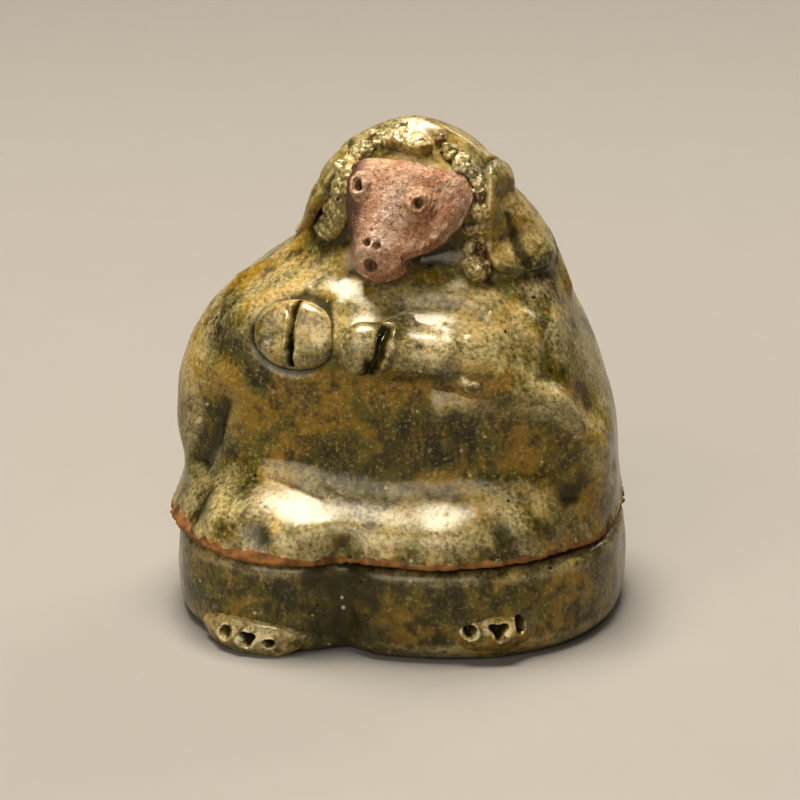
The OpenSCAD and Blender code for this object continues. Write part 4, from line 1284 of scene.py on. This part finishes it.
def scatter_crumbs(name, centres, shapes, glaze):
    """One mesh of lumpy crumbs, at centres and with three radii each, in millimetres."""
    cloud = bpy.data.meshes.new(name + "_points")
    cloud.from_pydata((centres * MM).tolist(), [], [])
    radii = (shapes * MM).astype(np.float32).ravel()
    cloud.attributes.new("shape", "FLOAT_VECTOR", "POINT").data.foreach_set("vector", radii)
    host = put(name + "_points", cloud)
    nodes = host.modifiers.new("Crumbs", "NODES")
    nodes.node_group = crumb_tree()
    wanted = {"Lump Size": 0.45 * MM, "Lump Height": 0.8 * MM, "Seed": 5, "Material": glaze}
    for item in nodes.node_group.interface.items_tree:
        if item.in_out == "INPUT" and item.name in wanted:
            nodes[item.identifier] = wanted[item.name]
    host.data = evaluated_mesh(host)
    merge = host.modifiers.new("Merge", "REMESH")
    merge.mode = "VOXEL"
    merge.voxel_size = CRUMB_VOXEL * MM
    mesh = evaluated_mesh(host)
    mesh.name = name
    bpy.data.objects.remove(host)
    places = np.array([vertex.co for vertex in mesh.vertices]) / MM
    out = np.array([vertex.normal for vertex in mesh.vertices])
    places += uneven(places, (0.20, 0.8, 48), (0.20, 0.42, 49))[:, None] * out
    mesh.vertices.foreach_set("co", (places * MM).astype(np.float32).ravel())
    mesh.materials.clear()
    mesh.materials.append(glaze)
    mesh.shade_smooth()
    for mark, value in CRUMB_MARKS.items():
        write_mark(mesh, mark, np.full(len(mesh.vertices), value))
    return put(name, mesh)


class INCENSEBOX_OT_ears(bpy.types.Operator):
    """Model the two ears, flaps of clay whose lower edges stand free"""

    bl_idname = "incensebox.ears"
    bl_label = "Ears"

    SINK = 0.5
    BACK_DEPTH = 0.7
    SQUARENESS = 6.0
    # The raised front edge, the hollow behind it and a fold
    LEFT_STROKES = (
        Stroke(((-8.8, 8.0), (-8.9, -9.0)), 0.2, 0.9),
        Stroke(((-5.6, 4.0), (-5.6, -9.0)), -0.8, 2.2),
        Stroke(((-2.0, 6.0), (-2.6, -7.0)), 0.3, 1.2),
    )
    RIGHT_CREASE = Stroke(((3.0, 8.0), (4.2, -4.0)), -0.5, 0.8)

    def execute(self, context):
        figure = figure_of(context)
        glaze = glaze_of(context)
        places = pressed_places(figure)
        for name, stand, thick, seed in (
            ("left_ear", self.left_stand, 1.1, 51), ("right_ear", self.right_stand, 0.8, 53),
        ):
            sheet, outline = places[name]

            def front(flat, share):
                return stand(flat) - self.SINK + (thick + self.SINK) * rounded(share, self.SQUARENESS)

            def back(flat):
                return stand(flat) - self.BACK_DEPTH

            rings = pad_rings(sheet, outline, front, back, 0.14, seed)
            marks = clay_marks(rings, 12, ashen=0.2, level=True)
            marks["pool"] += 0.1 * ease(sheet.z + 1.0, sheet.z - 4.0, rings[..., 2])
            strip = groove(pad_front(outline)[0], (-5.8, 0.0), (-5.8, -9.0), 1.0)
            marks["pool"][:FRONT_RINGS] += 0.7 * strip
            piece = make_piece(name + "_leaf", rings, glaze, marks)
            stand_for(piece, name + "_flap", "lid")
        return {"FINISHED"}

    def left_stand(self, flat):
        """How far the left ear stands off the head: most at its free lower corner."""
        free = ease(-3.0, -8.5, flat[..., 1]) * ease(2.0, -5.0, flat[..., 0])
        full = 0.5 * ease(-5.0, 3.0, flat[..., 1])
        return full + 0.9 * free + stroked(flat, self.LEFT_STROKES)

    def right_stand(self, flat):
        """How far the right ear stands off the head: most in its middle."""
        return 0.2 + 1.8 * bell(flat[..., 1] - 0.8, 4.4) + stroked(flat, [self.RIGHT_CREASE])


class INCENSEBOX_OT_dish(bpy.types.Operator):
    """Model the dish that holds the incense, with the flange that locates the lid"""

    bl_idname = "incensebox.dish"
    bl_label = "Dish"

    COLUMNS = 400
    WALL_ROWS = 44
    FOOT_ROUND = 2.4
    SEAM_ROUND = 1.4
    WELL_ROUND = 3.0
    SEAT_GAP = 0.02
    TOE_DEPTH = 1.6
    MOST_THIN = 0.84
    FINGER_MARKS = ((1.0, 9.0, 61), (0.4, 3.0, 62), (0.12, 1.2, 63))

    def execute(self, context):
        sizes = context.scene.incense_box_sizes
        figure = Figure(sizes)
        azimuths = columns(self.COLUMNS)
        well, flange, seat, wall, under = self.profile(figure)
        rings = np.array([
            figure.around(AXIS, azimuths, radius(azimuths) - inset, level)
            for radius, run in (
                (figure.seam_radius, well + flange), (figure.dish_radius, seat + wall + under))
            for inset, level in run])

        # The wall is uneven from the seat down to the last two rings of its foot, which stay as they are
        first, last = len(well + flange + seat), len(rings) - len(under) - 2
        outside = rings[first:last]
        z = outside[..., 2]
        az = np.broadcast_to(azimuths, z.shape)
        dents = sizes.finger_marks / MM * uneven(outside, *self.FINGER_MARKS)
        rise = figure.dish_swell(z) + dents * ease(0.0, 1.5, z)
        for foot in FEET:
            flat = Sheet(figure, figure.dish, foot.azimuth, foot.middle).flat(az, z)
            for toe in foot.toes:
                rise = rise - self.TOE_DEPTH * pit(flat, toe)
        rings[first:last] += rise[..., None] * outward(figure.dish, az, z)

        # The dish is drawn darker green all over, darker across its front and darkest under the notch
        # between the knees
        marks = clay_marks(rings, 40, 0.3 + 0.2 * bell(turn_from(azimuths, -76), 30))
        marks["pool"] += 0.4 * bell(turn_from(azimuths, -98), 12)
        # Paler glaze along the dish's rounded top edge, where it thins, which is also a painted highlight
        # along that edge
        marks["thin"] += 0.6 * ease(figure.seam - 2.4, figure.seam - 0.9, rings[..., 2])
        marks["thin"] = np.minimum(marks["thin"], self.MOST_THIN)
        marks["bare"][len(well):first + 1] = 1
        marks["bare"][last:] = 1
        piece = make_piece("dish", rings, glaze_of(context), marks)
        stand_for(piece, "base_dish", "dish")
        return {"FINISHED"}

    def profile(self, figure):
        """Insets from the edge and heights of the well, the flange, the seat, the wall and the underside."""
        quarter = [(1 - math.sin(a), 1 - math.cos(a)) for a in np.linspace(0, math.pi / 2, 10)]
        inner = figure.seat_w + figure.flange_t
        lip = figure.flange_t / 3
        top = figure.seam + figure.flange_h
        well = [(inner + 9.0, figure.floor_t)]
        well += [(inner + self.WELL_ROUND * s, figure.floor_t + self.WELL_ROUND * c) for s, c in quarter]
        flange = [
            (inner, top - lip), (inner - lip * 0.4, top - lip * 0.3), (inner - lip, top),
            (figure.seat_w + lip, top), (figure.seat_w + lip * 0.4, top - lip * 0.3),
            (figure.seat_w, top - lip), (figure.seat_w, figure.seam),
        ]
        seat = [(inset, figure.seam - self.SEAT_GAP) for inset in (4.5, 3.0)]
        wall = [(self.SEAM_ROUND * s, figure.seam - self.SEAM_ROUND * c) for s, c in quarter]
        levels = np.linspace(figure.seam - self.SEAM_ROUND, self.FOOT_ROUND, self.WALL_ROWS)
        wall += [(0.0, level) for level in levels[1:-1]]
        wall += [(self.FOOT_ROUND * c, self.FOOT_ROUND * s) for s, c in quarter]
        under = [(inset, 0.0) for inset in (6.0, 12.0)]
        return well, flange, seat, wall, under


class INCENSEBOX_OT_feet(bpy.types.Operator):
    """Model the two feet, with pricks between their toes"""

    bl_idname = "incensebox.feet"
    bl_label = "Feet"

    SINK = 0.8
    CLEAR = 0.05
    SQUARENESS = 4.0
    TOE_DEPTH = 2.6
    TOE_RIM = 0.18

    def execute(self, context):
        figure = figure_of(context)
        glaze = glaze_of(context)
        for foot in FEET:
            sheet = Sheet(figure, figure.dish, foot.azimuth, foot.middle)
            outline = oval(foot.left + foot.right, 2 * foot.above, 160)
            outline[:, 0] += (foot.right - foot.left) / 2
            outline[:, 1] *= np.where(outline[:, 1] < 0, foot.below / foot.above, 1)

            def front(flat, share):
                smear = foot.smeared * (1 + np.cos(math.pi * share)) / 2
                full = (1 - foot.smeared) * rounded(share, self.SQUARENESS) + smear
                full = full * (1 - 0.45 * ease(0.1, 1.0, flat[..., 0] / foot.right))
                top = (foot.thick + self.SINK) * full - self.SINK
                for toe in foot.toes:
                    away = np.linalg.norm((flat - np.array(toe[:2])) / (1, toe.tall), axis=-1)
                    top = top - self.TOE_DEPTH * pit(flat, toe)
                    top = top + self.TOE_RIM * bell(away - 1.4 * toe.radius, 0.4)
                return top

            rings = pad_rings(sheet, outline, front, sunk(self.SINK + 1.6), 0.26, foot.seed)
            rings[..., 2] = np.maximum(rings[..., 2], self.CLEAR)
            marks = clay_marks(rings, 12, ashen=foot.ashen, level=True)
            flat = pad_front(outline)[0]
            for toe in foot.toes:
                hole = 1.5 * pit(flat, toe)
                lip = 0.5 * pit(flat, Prick(toe.across, toe.up, 1.6 * toe.radius))
                marks["pool"][:FRONT_RINGS] += hole
                marks["thin"][:FRONT_RINGS] += lip - hole
            piece = make_piece(foot.name + "_pad", rings, glaze, marks)
            stand_for(piece, foot.name, "dish")
        return {"FINISHED"}


class INCENSEBOX_OT_stage(bpy.types.Operator):
    """Set up the paper, the soft lights and the camera"""

    bl_idname = "incensebox.stage"
    bl_label = "Stage"

    LAMP_TINT = "#fffaf4"
    ROOM_TINT = "#f4ece0"
    ROOM_LIGHT = 0.05
    GAMMA = 0.75
    CAMERA_AZIMUTH = 10.0
    CAMERA_ELEVATION = 18.0
    CAMERA_DISTANCE = 0.42
    CAMERA_TARGET = (0.00069, -0.00394, 0.030)
    LENS = 136.1

    def execute(self, context):
        scene = context.scene
        self.sweep(paper_material(scene.incense_box_colours))
        for name, place, aim, size, power in (
            ("key_box", (-0.10, 0.05, 1.25), (0.0, 0.0, 0.03), (0.66, 0.66), 37.0),
            ("front_fill", (-0.22, -1.00, 0.55), (0.0, 0.0, 0.03), (1.30, 0.90), 13.0),
            ("back_fill", (0.60, 1.10, 0.90), (0.0, 0.30, 0.0), (0.60, 0.40), 6.0),
        ):
            lamp = bpy.data.lights.new(name, "AREA")
            lamp.shape = "RECTANGLE"
            lamp.size, lamp.size_y = size
            lamp.energy = power
            lamp.color = linear(self.LAMP_TINT)
            light = put(name, lamp)
            light.location = place
            light.rotation_euler = (Vector(aim) - Vector(place)).to_track_quat("-Z", "Y").to_euler()
        world = bpy.data.worlds.new("soft room")
        world.use_nodes = True
        sky = world.node_tree.nodes["Background"].inputs
        sky["Color"].default_value = (*linear(self.ROOM_TINT), 1)
        sky["Strength"].default_value = self.ROOM_LIGHT
        scene.world = world
        scene.view_settings.view_transform = "Standard"
        scene.view_settings.gamma = self.GAMMA
        scene.camera = self.camera()
        return {"FINISHED"}

    def sweep(self, paper):
        """A sheet of paper that lies flat and curves up far behind the box."""
        half, near, back, bend, top = 1.2, -1.4, 0.9, 0.35, 1.4
        profile = [(near, 0.0), (back, 0.0)]
        for angle in np.linspace(0.1, math.pi / 2, 14):
            profile.append((back + bend * math.sin(angle), bend * (1 - math.cos(angle))))
        profile.append((back + bend, top))
        vertices = [(x, y, z) for y, z in profile for x in (-half, half)]
        faces = [(2 * k, 2 * k + 1, 2 * k + 3, 2 * k + 2) for k in range(len(profile) - 1)]
        mesh = bpy.data.meshes.new("paper_sweep")
        mesh.from_pydata(vertices, [], faces)
        mesh.shade_smooth()
        mesh.materials.append(paper)
        sweep = put("paper_sweep", mesh)

    def camera(self):
        az, el = math.radians(self.CAMERA_AZIMUTH), math.radians(self.CAMERA_ELEVATION)
        back = Vector((math.sin(az) * math.cos(el), -math.cos(az) * math.cos(el), math.sin(el)))
        lens = bpy.data.cameras.new("camera")
        lens.lens = self.LENS
        lens.sensor_width = 36.0
        lens.clip_start = 0.01
        camera = put("camera", lens)
        camera.location = Vector(self.CAMERA_TARGET) + back * self.CAMERA_DISTANCE
        camera.rotation_euler = (-back).to_track_quat("-Z", "Y").to_euler()
        return camera


STEPS = (
    INCENSEBOX_OT_stage, INCENSEBOX_OT_dish, INCENSEBOX_OT_feet, INCENSEBOX_OT_lid,
    INCENSEBOX_OT_arms, INCENSEBOX_OT_face, INCENSEBOX_OT_hair, INCENSEBOX_OT_ears,
)


class INCENSEBOX_PT_panel(bpy.types.Panel):
    """Lists the steps that make the incense box"""

    bl_label = "Incense box"
    bl_idname = "INCENSEBOX_PT_panel"
    bl_space_type = "VIEW_3D"
    bl_region_type = "UI"
    bl_category = "Incense box"

    def draw(self, context):
        for step in STEPS:
            self.layout.operator(step.bl_idname)


CLASSES = (BoxSizes, BoxColours, *STEPS, INCENSEBOX_PT_panel)


def register():
    for item in CLASSES:
        bpy.utils.register_class(item)
    bpy.types.Scene.incense_box_sizes = bpy.props.PointerProperty(type=BoxSizes)
    bpy.types.Scene.incense_box_colours = bpy.props.PointerProperty(type=BoxColours)


def unregister():
    del bpy.types.Scene.incense_box_colours
    del bpy.types.Scene.incense_box_sizes
    for item in reversed(CLASSES):
        bpy.utils.unregister_class(item)


def main():
    register()
    bpy.ops.incensebox.stage()
    bpy.ops.incensebox.dish()
    bpy.ops.incensebox.feet()
    bpy.ops.incensebox.lid()
    bpy.ops.incensebox.arms()
    bpy.ops.incensebox.face()
    bpy.ops.incensebox.hair()
    bpy.ops.incensebox.ears()


if __name__ == "__main__":
    main()
